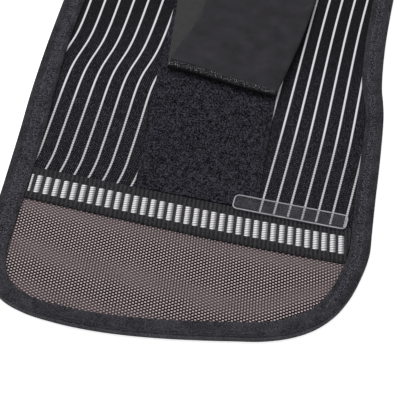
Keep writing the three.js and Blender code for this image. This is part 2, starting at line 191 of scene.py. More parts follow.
def wave(across, along):
    """Sum of the humps. Each is height times exp(-(off/reach)^2) times exp(-(beside/side)^2), in axes
    turned with its crest, where reach is near before the crest and far behind it."""
    across, along = np.asarray(across, float), np.asarray(along, float)
    total = np.zeros(np.broadcast(across, along).shape)
    for hump in WAVES:
        cos, sin = math.cos(math.radians(hump["turn"])), math.sin(math.radians(hump["turn"]))
        off_across = across - hump["across"] * BELT_WIDTH
        off_along = along - hump["along"] * FAR_ALONG
        off = off_along * cos - off_across * sin
        beside = off_along * sin + off_across * cos
        reach = np.where(off < 0, hump["near"], hump["far"])
        total = total + hump["height"] * np.exp(-((off / reach) ** 2) - (beside / hump["side"]) ** 2)
    return total


def web_bottom(across, along):
    """Level of the web's underside: the binding's lower fold and a gap lie beneath it."""
    return BINDING_WALL + LAYER_GAP + wave(across, along)


def web_top(across, along):
    """Level of the web's outer face."""
    return web_bottom(across, along) + WEB_THICKNESS


# %% The closed outline, in even steps
OUTLINE_STEP = 1.5


def side_places(spacing=9.0, plain_spacing=24.0, near_reach=150.0):
    """Places of the side stations: close together along the near end and wider beyond it."""
    near = np.linspace(0, near_reach, round(near_reach / spacing) + 1)
    plain = np.linspace(near_reach, FAR_ALONG, math.ceil((FAR_ALONG - near_reach) / plain_spacing) + 1)
    return np.concatenate([near, plain[1:]])


def end_stations():
    """across, along and band of the near end's stations: points of three cubic Bezier curves."""
    size = np.array([BELT_WIDTH, END_DEPTH])
    stations = []
    for before, curve in zip([END_START, *END_CURVES], END_CURVES):
        t = (np.arange(curve["steps"]) / curve["steps"])[:, None]
        start, to = np.array(before["to"]) * size, np.array(curve["to"]) * size
        handle1, handle2 = np.array(curve["handle1"]) * size, np.array(curve["handle2"]) * size
        points = (1 - t)**3 * start + 3 * (1 - t)**2 * t * handle1 + 3 * (1 - t) * t**2 * handle2 + t**3 * to
        stations.append(np.hstack([points, before["band"] + (curve["band"] - before["band"]) * t]))
    return np.vstack(stations)


def side_stations(side):
    """across, along and band of one long side's stations, from the near end to the far one."""
    along = side_places()
    share = mirrored(along) / HALF_SPAN
    across = read_table(SIDES, side, share) * BELT_WIDTH
    return np.stack([across, along, read_table(SIDES, f"{side} band", share)], axis=1)


def closed_line(stations, spacing):
    """A smooth closed line through stations, cut into even steps. Between two stations it is a cubic, and
    the slope at a station is the mean of the chords beside it, each weighed by the other's length."""
    chord = np.roll(stations, -1, axis=0) - stations
    step = np.linalg.norm(chord[:, :2], axis=1)
    before = np.roll(step, 1)
    slope_ahead = chord / step[:, None]
    slope = slope_ahead * before[:, None] + np.roll(slope_ahead, 1, axis=0) * step[:, None]
    slope /= (before + step)[:, None]
    starts = np.concatenate([[0], np.cumsum(step)])
    count = round(starts[-1] / spacing)
    at = np.arange(count) * starts[-1] / count
    seg = np.searchsorted(starts, at, side="right") - 1
    ahead = (seg + 1) % len(stations)
    t = ((at - starts[seg]) / step[seg])[:, None]
    return hermite(t, step[seg][:, None], stations[seg], slope[seg], stations[ahead], slope[ahead])


near_round = end_stations()
far_round = near_round * [1, -1, 1] + [0, FAR_ALONG, 0]
stations = np.vstack([near_round, side_stations("right"), far_round[::-1], side_stations("left")[::-1]])
outline = closed_line(stations, OUTLINE_STEP)
edge, edge_band = outline[:, :2], outline[:, 2]
edge_run = np.roll(edge, -1, axis=0) - np.roll(edge, 1, axis=0)
edge_run /= np.linalg.norm(edge_run, axis=1)[:, None]
edge_inward = np.stack([-edge_run[:, 1], edge_run[:, 0]], axis=1)
edge_length = np.concatenate([[0], np.cumsum(np.linalg.norm(np.diff(edge, axis=0), axis=1))])
binding_reach = (edge_band * BINDING_WIDTH)[:, None]
print(f"outline: {len(edge)} steps, {edge_length[-1]:.0f} mm round")


def side_edge(side, along, inset):
    """Across place of one side at given places along, moved in by an inset, which is one number or one for
    each step of the outline: the outline is moved inwards first, then read between its two ends."""
    moved = edge + edge_inward * inset
    moved = np.roll(moved, -int(np.argmin(moved[:, 1])), axis=0)
    top = int(np.argmax(moved[:, 1]))
    branch = moved[:top + 1] if side == "right" else moved[top:][::-1]
    return np.interp(along, branch[:, 1], branch[:, 0])


# %% [markdown]
# ## Sheets, tubes and stitches
#
# Cloth has two faces and an edge, so every sheet is closed: an upper grid, a lower grid turned over and a
# wall between their rims. A Solidify modifier could do this too, but then the two faces could not differ,
# and here a pile or a rib is on one face only. Cords, threads and the binding are a section carried along a
# line. All points carry a "cloth" attribute, in millimetres of that cloth, which the weaves read: it bends
# with the piece, as threads do.

# %% Making meshes from grids
SHARP_ANGLE = math.radians(40)
draw = np.random.default_rng(7)
pieces = {}


def make_piece(name, points, faces, cloth):
    """A mesh object from points in the row frame, faces and the cloth coordinates of each point."""
    mesh = bpy.data.meshes.new(name)
    mesh.from_pydata(np.asarray(points).reshape(-1, 3), [], [list(face) for group in faces for face in group])
    mesh.polygons.foreach_set("use_smooth", np.ones(len(mesh.polygons), bool))
    mesh.set_sharp_from_angle(angle=SHARP_ANGLE)
    layer = mesh.attributes.new("cloth", "FLOAT_VECTOR", "POINT")
    layer.data.foreach_set("vector", np.asarray(cloth, np.float32).ravel())
    mesh.update()
    piece = bpy.data.objects.new(name, mesh)
    bpy.context.scene.collection.objects.link(piece)
    pieces[name] = piece
    print(f"{name}: {len(mesh.polygons)} faces")
    return piece


def sheet_faces(rows, columns, copies=1):
    """Faces of a closed sheet whose upper grid comes first and whose lower grid follows, for each copy."""
    at = np.arange(rows * columns).reshape(rows, columns)
    under = rows * columns
    upper = np.stack([at[:-1, :-1], at[:-1, 1:], at[1:, 1:], at[1:, :-1]], axis=-1).reshape(-1, 4)
    rim = np.concatenate([at[0, :-1], at[:-1, -1], at[-1, :0:-1], at[:0:-1, 0]])
    ahead = np.roll(rim, -1)
    wall = np.stack([rim + under, ahead + under, ahead, rim], axis=-1)
    one = np.concatenate([upper, upper[:, ::-1] + under, wall])
    return (one[None] + (np.arange(copies) * 2 * under)[:, None, None]).reshape(-1, 4)


def make_sheet(name, across, along, lower, upper, cloth):
    """A closed sheet over a plan grid, with its lower and upper levels in millimetres. cloth gives three
    grids; the third is 0 on the whole underside, so that a finish can tell the two faces apart: the strap's
    finish paints shade on its underside and walls with it."""
    rows, columns = across.shape
    points = np.stack([to_frame(across, along, upper), to_frame(across, along, lower)])
    over = np.stack(np.broadcast_arrays(*cloth, across)[:3], axis=-1)
    under = over * [1, 1, 0]
    return make_piece(name, points, [sheet_faces(rows, columns)], np.stack([over, under]).reshape(-1, 3))


def sweep_faces(stations, corners, closed):
    """Faces of a section carried along a line: a quad between each two stations and two corners, and a cap
    at each end where the line is open."""
    at = np.arange(stations * corners).reshape(stations, corners)
    ahead = np.roll(at, -1, axis=0) if closed else at[1:]
    here = at if closed else at[:-1]
    quads = np.stack([here, np.roll(here, -1, axis=1), np.roll(ahead, -1, axis=1), ahead], axis=-1)
    caps = [] if closed else [at[0, ::-1][None], at[-1][None]]
    return [quads.reshape(-1, 4), *caps]


def thread_points(path, radius, sides, closed=False):
    """Points round a thread: a ring of given radius at each place of the path, upright to its run."""
    if closed:
        run = np.roll(path, -1, axis=0) - np.roll(path, 1, axis=0)
    else:
        run = np.gradient(path, axis=0)
    run /= np.linalg.norm(run, axis=1)[:, None]
    side = np.cross([0, 0, 1], run)
    side /= np.linalg.norm(side, axis=1)[:, None]
    up = np.cross(run, side)
    angle = np.arange(sides) * 2 * np.pi / sides
    ring = np.cos(angle)[None, :, None] * side[:, None] + np.sin(angle)[None, :, None] * up[:, None]
    return path[:, None] + ring * radius


def make_thread(name, paths, radius, sides=5):
    """One mesh of several threads, each a tube with closed ends. cloth runs with the thread's length."""
    points, faces, cloth, first = [], [], [], 0
    for path in paths:
        ring = thread_points(path, radius * MM, sides)
        groups = sweep_faces(len(path), sides, closed=False)
        faces += [group + first for group in groups]
        points.append(ring.reshape(-1, 3))
        length = np.concatenate([[0], np.cumsum(np.linalg.norm(np.diff(path, axis=0), axis=1))]) / MM
        around = np.arange(sides) / sides
        grid = np.stack(np.broadcast_arrays(length[:, None], around[None, :], 1.0), axis=-1)
        cloth.append(grid.reshape(-1, 3))
        first += ring.shape[0] * sides
    return make_piece(name, np.vstack(points), faces, np.vstack(cloth))


STITCH_STATIONS = np.array([-1.0, -0.8, 0.0, 0.8, 1.0])
STITCH_GIRTH = np.array([0.35, 0.9, 1.0, 0.9, 0.35])
STITCH_DIP = np.array([-0.9, -0.4, 0.0, -0.4, -0.9])


def make_stitches(name, lines, length, gap, radius, sides=6):
    """Running stitches along lines of row-frame points that lie close together: each stitch is a short
    capsule whose ends dip into the cloth."""
    centres, runs = [], []
    for line in lines:
        far = np.concatenate([[0], np.cumsum(np.linalg.norm(np.diff(line, axis=0), axis=1))]) / MM
        at = np.arange(length / 2, far[-1] - length / 2, length + gap)
        place = np.stack([np.interp(at, far, line[:, axis]) for axis in range(3)], axis=1)
        ahead = np.stack([np.interp(at + length / 2, far, line[:, axis]) for axis in range(3)], axis=1)
        centres.append(place)
        runs.append(ahead - place)
    centre, run = np.vstack(centres), np.vstack(runs)
    run /= np.linalg.norm(run, axis=1)[:, None]
    side = np.cross([0, 0, 1], run)
    side /= np.linalg.norm(side, axis=1)[:, None]
    up = np.cross(run, side)
    angle = np.arange(sides) * 2 * np.pi / sides
    lengthwise = run[:, None, None] * (STITCH_STATIONS * length / 2)[None, :, None, None]
    girth = (STITCH_GIRTH * radius)[None, :, None, None]
    sideways = side[:, None, None] * np.cos(angle)[None, None, :, None] * girth
    upwards = up[:, None, None] * (np.sin(angle)[None, None, :, None] * girth
                                   + (STITCH_DIP * radius)[None, :, None, None])
    points = centre[:, None, None] + (lengthwise + sideways + upwards) * MM
    one = sweep_faces(len(STITCH_STATIONS), sides, closed=False)
    offset = (np.arange(len(centre)) * len(STITCH_STATIONS) * sides)[:, None, None]
    faces = [(group[None] + offset).reshape(-1, group.shape[1]) for group in one]
    cloth = np.broadcast_to([0.0, 0.0, 1.0], (points.size // 3, 3))
    return make_piece(name, points, faces, cloth)


# %% [markdown]
# ## Shader sums
#
# A weave is a sum: fractions, sines and steps of a distance. Written as nodes it takes a page, and written
# as an expression it takes a line. So one small class wraps a socket and adds a Math node for each
# operator, and a second one holds a material's node tree.

# %% Value and Finish
class Value:
    """A number that varies over a surface. Reckoning with it adds the Math nodes that do the sum."""

    def __init__(self, finish, socket):
        self.finish = finish
        self.socket = socket

    def math(self, operation, *terms):
        return self.finish.node("ShaderNodeMath", {"operation": operation}, terms)

    def __add__(self, other):
        return self.math("ADD", self, other)

    def __radd__(self, other):
        return self.math("ADD", other, self)

    def __sub__(self, other):
        return self.math("SUBTRACT", self, other)

    def __rsub__(self, other):
        return self.math("SUBTRACT", other, self)

    def __mul__(self, other):
        return self.math("MULTIPLY", self, other)

    def __rmul__(self, other):
        return self.math("MULTIPLY", other, self)

    def __truediv__(self, other):
        return self.math("DIVIDE", self, other)

    def __rtruediv__(self, other):
        return self.math("DIVIDE", other, self)

    def __pow__(self, other):
        return self.math("POWER", self, other)

    def __abs__(self):
        return self.math("ABSOLUTE", self)

    def sin(self):
        return self.math("SINE", self)

    def part(self):
        """The part of the number past its whole, from 0 to 1."""
        return self.math("FRACT", self)

    def step(self, low, high):
        """0 at low, 1 at high and smooth between them."""
        settings = {"interpolation_type": "SMOOTHSTEP", "clamp": True}
        inputs = {"Value": self, "From Min": low, "From Max": high}
        return self.finish.node("ShaderNodeMapRange", settings, inputs)

    def ripple(self, pitch):
        """A sine from 0 to 1 with one crest for each pitch."""
        return (self * (2 * math.pi / pitch)).sin() * 0.5 + 0.5


class Finish:
    """One material. Uniform values are set on the shader's own sockets by name."""

    def __init__(self, name, **uniform):
        self.material = bpy.data.materials.new(name)
        self.material.use_nodes = True
        self.tree = self.material.node_tree
        self.tree.nodes.clear()
        self.shader = self.tree.nodes.new("ShaderNodeBsdfPrincipled")
        output = self.tree.nodes.new("ShaderNodeOutputMaterial")
        self.tree.links.new(self.shader.outputs[0], output.inputs["Surface"])
        for socket, value in uniform.items():
            self.shader.inputs[socket.replace("_", " ")].default_value = value

    def node(self, kind, settings=(), inputs=(), output=0):
        """Adds any node: its settings first, then a number or a Value for each input."""
        made = self.tree.nodes.new(kind)
        for key, value in dict(settings).items():
            setattr(made, key, value)
        for key, value in (inputs.items() if isinstance(inputs, dict) else enumerate(inputs)):
            self.feed(made.inputs[key], value)
        return Value(self, made.outputs[output])

    def feed(self, socket, value):
        if isinstance(value, Value):
            self.tree.links.new(value.socket, socket)
        else:
            socket.default_value = value

    def cloth(self):
        """The three cloth coordinates as Values."""
        vector = self.node("ShaderNodeAttribute", {"attribute_name": "cloth"}, output="Vector")
        split = self.node("ShaderNodeSeparateXYZ", inputs=[vector])
        return [Value(self, socket) for socket in split.socket.node.outputs]

    def noise(self, size, detail=2.0, stretch=(1, 1, 1)):
        """Noise from 0 to 1 in Object coordinates, with lumps of about size millimetres, drawn out by
        stretch along each axis."""
        place = self.node("ShaderNodeTexCoord", output="Object")
        scale = [1 / (size * MM * x) for x in stretch]
        spread = self.node("ShaderNodeMapping", inputs={"Vector": place, "Scale": scale})
        return self.node("ShaderNodeTexNoise", inputs={"Vector": spread, "Scale": 1.0, "Detail": detail})

    def mix(self, share, low, high):
        """The colour that share of the way from low to high."""
        return self.node("ShaderNodeMix", {"data_type": "RGBA"}, {0: share, 6: low, 7: high}, output=2)

    def colour(self, value):
        self.feed(self.shader.inputs["Base Color"], value)

    def bump(self, height, strength=1.0):
        """Relief from a height in millimetres."""
        inputs = {"Height": height, "Distance": MM, "Strength": strength}
        self.feed(self.shader.inputs["Normal"], self.node("ShaderNodeBump", inputs=inputs))


def shade(red, green, blue):
    """A colour as seen in the picture, 0 to 255, as linear light."""
    parts = [x / 255 for x in (red, green, blue)]
    return (*[x / 12.92 if x <= 0.04045 else ((x + 0.055) / 1.055) ** 2.4 for x in parts], 1.0)


def dress(finish, slot, *names):
    """Gives pieces their finish. The slot is not used."""
    for name in names:
        pieces[name].data.materials.append(finish.material)


# %% [markdown]
# ## Striped elastic web
#
# The body of the belt is woven elastic: black ribbed ground with a thick light cord woven in lengthwise
# every 8 mm. Near the shown end the cloth was folded once, so its left stripes swing to the right across
# the hump. The stripes are real cords here, laid on the ground, because their light edge and their rope
# twist are what the eye sees first; the ground's fine diagonal rib is only colour and bump.

# %% Stripe places
STRIPE_PITCH = 7.87
STRIPE_WIDTH = 1.25
STRIPE_HEIGHT = 0.26
STRIPE_NUMBERS = [-2, 0, 6, 15, 24]
STRIPE_PLACES = [-103.4, -87.1, -38.4, 31.8, 101.0]
SWING = {"height": 6.0, "along": 93.0, "across": -66.0, "lean": 0.2, "reach": 13.5}
TAPE_PULL = {"height": 4.5, "reach": 28.0}
NARROWING = {"across": 20.0, "slope": 0.08, "from": 50.0, "to": 165.0}
STRIPE_MARGIN = 2.0
EDGE_INSET = BINDING_WALL + 2 * LAYER_GAP


def stripe_shift(across, along):
    """How far a stripe is moved to the right. On the left half: a soft step over the hump, less a pull to
    the left close to the tape. On the right half the cloth narrows, so a stripe moves to the left by a
    share of its distance from the middle."""
    near = mirrored(along)
    hump = SWING["along"] - SWING["lean"] * (across - SWING["across"])
    step = SWING["height"] * 0.5 * (1 + np.tanh((near - hump) / SWING["reach"]))
    pull = TAPE_PULL["height"] * np.clip(1 - near / TAPE_PULL["reach"], 0, None) ** 2
    narrowed = np.clip(across - NARROWING["across"], 0, None) * NARROWING["slope"]
    narrowed = narrowed * smooth_step(near, NARROWING["from"], NARROWING["to"])
    return (step - pull) * (1 - smooth_step(across, -25, 30)) - narrowed


def long_places(start, end, near_step, far_step, near_reach=150.0):
    """Places along the belt: fine steps to near_reach, coarser ones beyond it."""
    near = np.linspace(start, near_reach, round((near_reach - start) / near_step) + 1)
    return np.concatenate([near, np.linspace(near_reach, end, round((end - near_reach) / far_step) + 1)[1:]])


# %% The web
JOIN_GAP = LAYER_GAP / 2
WEB_COLUMNS = 61
web_along = long_places(JOIN_GAP, FAR_ALONG - JOIN_GAP, 2.5, 5.0)[:, None]
web_left = side_edge("left", web_along, EDGE_INSET)
web_right = side_edge("right", web_along, EDGE_INSET)
web_across = web_left + (web_right - web_left) * np.linspace(0, 1, WEB_COLUMNS)
web_along = np.broadcast_to(web_along, web_across.shape)
unmoved = web_across - stripe_shift(web_across, web_along)
web_stripe = np.interp(unmoved, STRIPE_PLACES, STRIPE_NUMBERS) * STRIPE_PITCH
make_sheet("elastic_web", web_across, web_along, web_bottom(web_across, web_along),
           web_top(web_across, web_along), (web_stripe, web_along, 1.0))


# %% The stripe cords
def stripe_line(number):
    """Layout places of one stripe's middle line, and which of them lie inside the belt's edges."""
    along = long_places(1.0, FAR_ALONG - 1.0, 2.5, 5.0)
    base = np.interp(number, STRIPE_NUMBERS, STRIPE_PLACES)
    across = base + stripe_shift(base, along)
    left, right = (side_edge(side, along, EDGE_INSET + STRIPE_MARGIN) for side in ("left", "right"))
    return across, along, (across > left) & (across < right)


def cord_section():
    """A low arch: across -1 to 1 of the half width, height 0 to 1, anticlockwise with a flat underside."""
    angle = np.linspace(np.pi, 0, 6)
    return np.stack([np.cos(angle), np.sin(angle) ** 0.8], axis=1)


def stripe_runs(across, along, inside):
    """The stretches of a stripe that lie inside the belt's edges, each of at least four places."""
    change = np.flatnonzero(np.diff(np.concatenate([[0], inside.astype(int), [0]])))
    starts, ends = change[::2], change[1::2]
    return [(across[a:b], along[a:b]) for a, b in zip(starts, ends) if b - a > 3]


def make_stripes(name):
    """All stripe cords as one mesh. A cord's point is its middle line moved across by the section and
    raised from the web by it; its left edge comes first, so the faces point out."""
    arch = cord_section()
    arch = np.vstack([arch, [[0.0, 0.0]]])[::-1]
    points, faces, cloth, first = [], [], [], 0
    for number in range(STRIPE_NUMBERS[0], STRIPE_NUMBERS[-1] + 1):
        for across, along in stripe_runs(*stripe_line(number)):
            wide = across[:, None] - arch[None, :, 0] * STRIPE_WIDTH / 2
            high = web_top(wide, along[:, None]) + 0.02 + arch[None, :, 1] * STRIPE_HEIGHT
            points.append(to_frame(wide, along[:, None], high).reshape(-1, 3))
            faces += [group + first for group in sweep_faces(len(along), len(arch), closed=False)]
            share = np.broadcast_to(arch[None, :, 0], wide.shape)
            cloth.append(np.stack(np.broadcast_arrays(along[:, None], share, number), -1).reshape(-1, 3))
            first += wide.size
    return make_piece(name, np.vstack(points), faces, np.vstack(cloth))


make_stripes("stripe_cords")

# %% Finish of the elastic
def from_nearer_tape(run):
    """Distance along the belt from the nearer of the two tapes."""
    return HALF_SPAN - abs(run - HALF_SPAN)


elastic = Finish("elastic", Roughness=0.8, Specular_IOR_Level=0.12)
stripe, run, face = elastic.cloth()
twill = abs(((stripe + run * 0.75) / 1.05).part() - 0.5)
ribs = stripe.ripple(STRIPE_PITCH / 6)
grain = elastic.noise(0.6)
brighter = from_nearer_tape(run).step(150, 40).step(-0.6, 1.0)
lit = twill.step(0.28, 0.48) * grain.step(0.44, 0.68) * brighter
elastic.colour(elastic.mix(lit, shade(7, 7, 8), shade(104, 103, 120)))
elastic.bump(twill * 0.16 + ribs * 0.06 + grain * 0.06)
dress(elastic, "elastic", "elastic_web")

cord = Finish("stripe_cord", Roughness=0.6, Specular_IOR_Level=0.2)
run, share, number = cord.cloth()
twist = abs(((run + share * 0.5) / 1.25).part() - 0.5)
strand = twist.step(0.16, 0.44)
beaded = from_nearer_tape(run).step(78, 52)
# Painted shade: each cord is darker along both flanks, where it curves down to the web.
flank_shade = abs(share).step(0.5, 1.0)
dark = (strand * (0.12 + beaded * 0.78) + flank_shade * 0.5).step(0.0, 1.2)
cord.colour(cord.mix(dark, shade(214, 213, 217), shade(46, 46, 52)))
cord.bump(strand * -0.12)
dress(cord, "elastic", "stripe_cords")

# %% [markdown]
# ## Ballistic nylon end panels
#
# The stiff end panels are ballistic nylon: thick warm grey yarns that pass over and under in a coarse
# basket weave, so the eye sees light floats in a checkerboard with almost black gaps. A bump map would lie
# flat in close views, so each float is a small raised pillow of five faces. The columns lean a little, as
# the cloth was cut slightly off its grain, and soft bands run across it where the yarns lie calmer.

# %% Nylon ground and floats
FLOAT_COLUMN = 1.53
COLUMN_SPREAD = 0.0008
COLUMN_LEAN = 0.147
FLOAT_ROW = 0.965
FLOAT_WIDTH = 1.22
FLOAT_LENGTH = 1.06
FLOAT_HEIGHT = 0.26
FLOAT_CROWN = [0.62, 0.66]
PANEL_ROWS = 30
PANEL_COLUMNS = 81


def end_reach(inset):
    """Lowest place along of the outline moved in by an inset."""
    return float((edge + edge_inward * inset)[:, 1].min())


def panel_plan():
    """Plan grid of the near end panel: rows from the rounded end up to the join, each from side to side.
    The first row lies 3 mm inside the round, where the binding hides its short straight edge."""
    along = np.linspace(end_reach(EDGE_INSET) + 3, -JOIN_GAP, PANEL_ROWS)[:, None]
    left, right = side_edge("left", along, EDGE_INSET), side_edge("right", along, EDGE_INSET)
    across = left + (right - left) * np.linspace(0, 1, PANEL_COLUMNS)
    return across, np.broadcast_to(along, across.shape)


CALM_BANDS = [
    {"across": [-100, -60, 0, 60, 100], "along": [-12, -14, -16, -17, -16], "reach": 5.0, "depth": 1.0},
    {"across": [-95, -40, 10, 30, 52, 84, 95], "along": [-40, -45, -48, -53, -50, -30, -22],
     "reach": 6.0, "depth": 0.95},
    {"across": [-80, -30, 25, 60], "along": [-66, -72, -73, -66], "reach": 5.0, "depth": 0.7},
]


def calmness(across, along):
    """How calm the weave looks, from 0 to 1: each band is a bell round its own line, and the strongest of
    them counts."""
    bells = []
    for band in CALM_BANDS:
        off = along - np.interp(across, band["across"], band["along"])
        bells.append(band["depth"] * np.exp(-(off / band["reach"]) ** 2))
    return np.max(bells, axis=0)


def float_places():
    """Middle places of the floats on the near panel. Column i and row j hold one where i + j is even:
    across = i columns, spread and leaned with the distance from the tape, along = -j rows."""
    columns = np.arange(-75, 76)
    rows = np.arange(8, round(END_DEPTH / FLOAT_ROW))
    column, row = np.meshgrid(columns, rows)
    column, row = column[(column + row) % 2 == 0], row[(column + row) % 2 == 0]
    along = -row * FLOAT_ROW
    across = column * FLOAT_COLUMN * (1 - COLUMN_SPREAD * along) - COLUMN_LEAN * along
    hidden = binding_reach * 0.9
    left, right = side_edge("left", along, hidden), side_edge("right", along, hidden)
    inside = (across > left) & (across < right) & (along > end_reach(hidden) + 0.5)
    return across[inside], along[inside]


def make_floats(name, across, along, mirror):
    """Pillows of five faces each and a flat underside: a base rectangle on the web and a smaller one above
    it. cloth holds the weave's calmness there, 1 on top and 0 at the foot, and the float's own tone; the
    finish uses the second to paint shade down each float's sides to its foot."""
    corner = np.array([[-1, -1], [1, -1], [1, 1], [-1, 1]]) / 2
    foot = corner * [FLOAT_WIDTH, FLOAT_LENGTH]
    crown = foot * FLOAT_CROWN
    plan = np.concatenate([foot, crown])
    x, y = across[:, None] + plan[:, 0], along[:, None] + plan[:, 1]
    if mirror:
        y = FAR_ALONG - y[:, [3, 2, 1, 0, 7, 6, 5, 4]]
        x = x[:, [3, 2, 1, 0, 7, 6, 5, 4]]
    rise = np.array([0.01] * 4 + [FLOAT_HEIGHT] * 4)
    points = to_frame(x, y, web_top(x, y) + rise)
    one = [[0, 1, 5, 4], [1, 2, 6, 5], [2, 3, 7, 6], [3, 0, 4, 7], [4, 5, 6, 7], [3, 2, 1, 0]]
    faces = (np.array(one)[None] + (np.arange(len(across)) * 8)[:, None, None]).reshape(-1, 4)
    height = np.array([0.0] * 4 + [1.0] * 4)
    calm, tone = calmness(across, along)[:, None], draw.random(len(across))[:, None]
    cloth = np.stack(np.broadcast_arrays(calm, height, tone), -1).reshape(-1, 3)
    return make_piece(name, points, [faces], cloth)


plan_across, plan_along = panel_plan()
float_across, float_along = float_places()
for end in ("near", "far"):
    mirror = end == "far"
    across = plan_across[::-1] if mirror else plan_across
    along = FAR_ALONG - plan_along[::-1] if mirror else plan_along
    local = plan_along[::-1] if mirror else plan_along
    make_sheet(f"nylon_panel_{end}", across, along, web_bottom(across, along), web_top(across, along),
               (across + local * COLUMN_LEAN, calmness(across, local), 1.0))
    make_floats(f"nylon_floats_{end}", float_across, float_along, mirror)
print(f"{len(float_across)} floats on each panel")

# %% Finish of the nylon
nylon_ground = Finish("nylon_ground", Roughness=0.7, Specular_IOR_Level=0.1)
upright, calm, face = nylon_ground.cloth()
yarn = abs((upright / FLOAT_COLUMN).part() - 0.5).step(0.10, 0.42)
# Painted shade: outside the calm bands the ground between the floats is near black, as the gaps lie in shade;
# in the calm bands its yarn columns show lighter.
nylon_ground.colour(nylon_ground.mix(calm * (0.35 + yarn * 0.65), shade(8, 6, 7), shade(106, 93, 95)))
nylon_ground.bump(yarn * 0.12 + nylon_ground.noise(0.3) * 0.05)
dress(nylon_ground, "nylon", "nylon_panel_near", "nylon_panel_far")

nylon_float = Finish("nylon_float", Roughness=0.45, Specular_IOR_Level=0.3)
calm, height, tone = nylon_float.cloth()
# Painted shade: each float is light on top and dark at its foot, fading down its sides into the gaps; the
# calm bands dim it and its own tone varies at random.
float_tone_and_foot_shade = height * (1.0 - calm * 0.46) * (0.84 + tone * 0.16)
nylon_float.colour(nylon_float.mix(float_tone_and_foot_shade, shade(18, 12, 15), shade(198, 179, 181)))
nylon_float.bump(nylon_float.noise(0.12, stretch=(1, 3, 1)) * 0.06)
dress(nylon_float, "nylon", "nylon_floats_near", "nylon_floats_far")

# %% [markdown]
# ## Ladder tape
#
# A narrow webbing hides the join of nylon and elastic. Its borders are black ribs and down its middle stand
# woven light grey blocks, like the rungs of a ladder. The ribs are part of the tape's own surface, a cosine
# across it. The blocks are pillows of their own, so that their light yarn ends in a clean edge.

# %% Tape and blocks
BLOCK_PITCH = 4.786
BLOCK_WIDTH = 3.25
BLOCK_REACH, BLOCK_DROP = 5.75, 0.35
BLOCK_ROWS, BLOCK_COLUMNS = 9, 7
FIRST_BLOCK = -80.45
BLOCK_SHIFT, BLOCK_BOW_MIDDLE, BLOCK_BOW_RADIUS = 1.55, 5.0, 1625.0
BLOCK_RISE = 0.34
RIB_LEAN, RIB_LEAN_GAIN = 0.12, 0.0008
RIB_HEIGHT = 0.16
TAPE_COLUMNS = 460
tape_shares = np.array([-0.5, -0.491, -0.47, -0.38, -0.29, -0.265, -0.23, 0])
tape_shares = np.concatenate([tape_shares, -tape_shares[-2::-1]])[:, None]
tape_edge_drop = 0.45 * smooth_step(np.abs(tape_shares), 0.47, 0.5)


def block_place(count):
    """Across place of the block or rib with a number: even pitches, bowed a little as the tape is stretched
    in its middle and eased at its ends."""
    even = FIRST_BLOCK + BLOCK_PITCH * count
    return even + BLOCK_SHIFT - (even - BLOCK_BOW_MIDDLE) ** 2 / (2 * BLOCK_BOW_RADIUS)


def rib_lean(across):
    """How far a rib or block leans to the left for each millimetre up the tape: the tape is sewn on a
    little skewed, more so on the right."""
    return RIB_LEAN + RIB_LEAN_GAIN * across


def tape_plan():
    """Plan grid of the near tape, from binding to binding, about its sagging line."""
    ends = []
    for side in ("left", "right"):
        start = side_edge(side, 0.0, binding_reach + LAYER_GAP)
        ends.append(side_edge(side, tape_line(start, tape_shares), binding_reach + LAYER_GAP))
    across = ends[0] + (ends[1] - ends[0]) * np.linspace(0, 1, TAPE_COLUMNS)
    return across, tape_line(across, tape_shares)


def tape_level(count, off):
    """Level above the web of the tape's face: its thickness and, outside the block row, ribs, which are two
    waves of a cosine for each block."""
    border = smooth_step(np.abs(off), BLOCK_REACH + 0.2, BLOCK_REACH + 1.0)
    rib = 0.5 + 0.5 * np.cos(4 * np.pi * count)
    return LAYER_GAP + TAPE_THICKNESS + RIB_HEIGHT * (rib * border - 0.6 * (1 - border))


def make_blocks(name, mirror):
    """The woven blocks of one tape as pillows: height falls off with the fourth power of the distance from
    the block's middle line and with the twelfth power towards its ends."""
    left, right = (float(side_edge(side, 0.0, binding_reach + LAYER_GAP)) for side in ("left", "right"))
    left, right = left + rib_lean(left) * BLOCK_REACH, right - rib_lean(right) * BLOCK_REACH
    centres = block_place(np.arange(-1, 37))
    low = np.clip(centres - BLOCK_WIDTH / 2, left, right)
    high = np.clip(centres + BLOCK_WIDTH / 2, left, right)
    low, high = low[high - low > 0.6], high[high - low > 0.6]
    u, v = np.linspace(-1, 1, BLOCK_COLUMNS), np.linspace(-1, 1, BLOCK_ROWS)
    x = (low + high)[:, None, None] / 2 + (high - low)[:, None, None] / 2 * u[None, None, :]
    off = BLOCK_REACH * v[None, :, None] - BLOCK_DROP
    x, y = np.broadcast_arrays(x - rib_lean(x) * off, tape_line(x, 0.0) + off)
    if mirror:
        x, y = x[:, ::-1], FAR_ALONG - y[:, ::-1]
    arch = (1 - u[None, None, :] ** 4) * (1 - v[None, :, None] ** 12)
    base = web_top(x, y) + LAYER_GAP + TAPE_THICKNESS - 0.1
    points = np.stack([to_frame(x, y, base + 0.05 + BLOCK_RISE * arch), to_frame(x, y, base - 0.05)], axis=1)
    cloth = np.stack(np.broadcast_arrays(u[None, None, None, :], v[None, None, :, None],
                                         (x[:, None] * 0 + x[:, :1, :1][:, None])), -1)
    cloth = np.broadcast_to(cloth, (len(low), 2, BLOCK_ROWS, BLOCK_COLUMNS, 3))
    faces = sheet_faces(BLOCK_ROWS, BLOCK_COLUMNS, copies=len(low))
    return make_piece(name, points, [faces], cloth.reshape(-1, 3))


block_numbers = np.arange(-6, 44)
for end in ("near", "far"):
    mirror = end == "far"
    across, along = tape_plan()
    off = along - tape_line(across, 0.0)
    count = np.interp(across + rib_lean(across) * off, block_place(block_numbers), block_numbers)
    rise = tape_level(count, off) - tape_edge_drop
    if mirror:
        across, along = across[::-1], FAR_ALONG - along[::-1]
        off, count, rise = off[::-1], count[::-1], rise[::-1]
    top = web_top(across, along) + rise
    make_sheet(f"tape_{end}", across, along, web_top(across, along) + LAYER_GAP, top, (count, off, 1.0))
    make_blocks(f"tape_blocks_{end}", mirror)

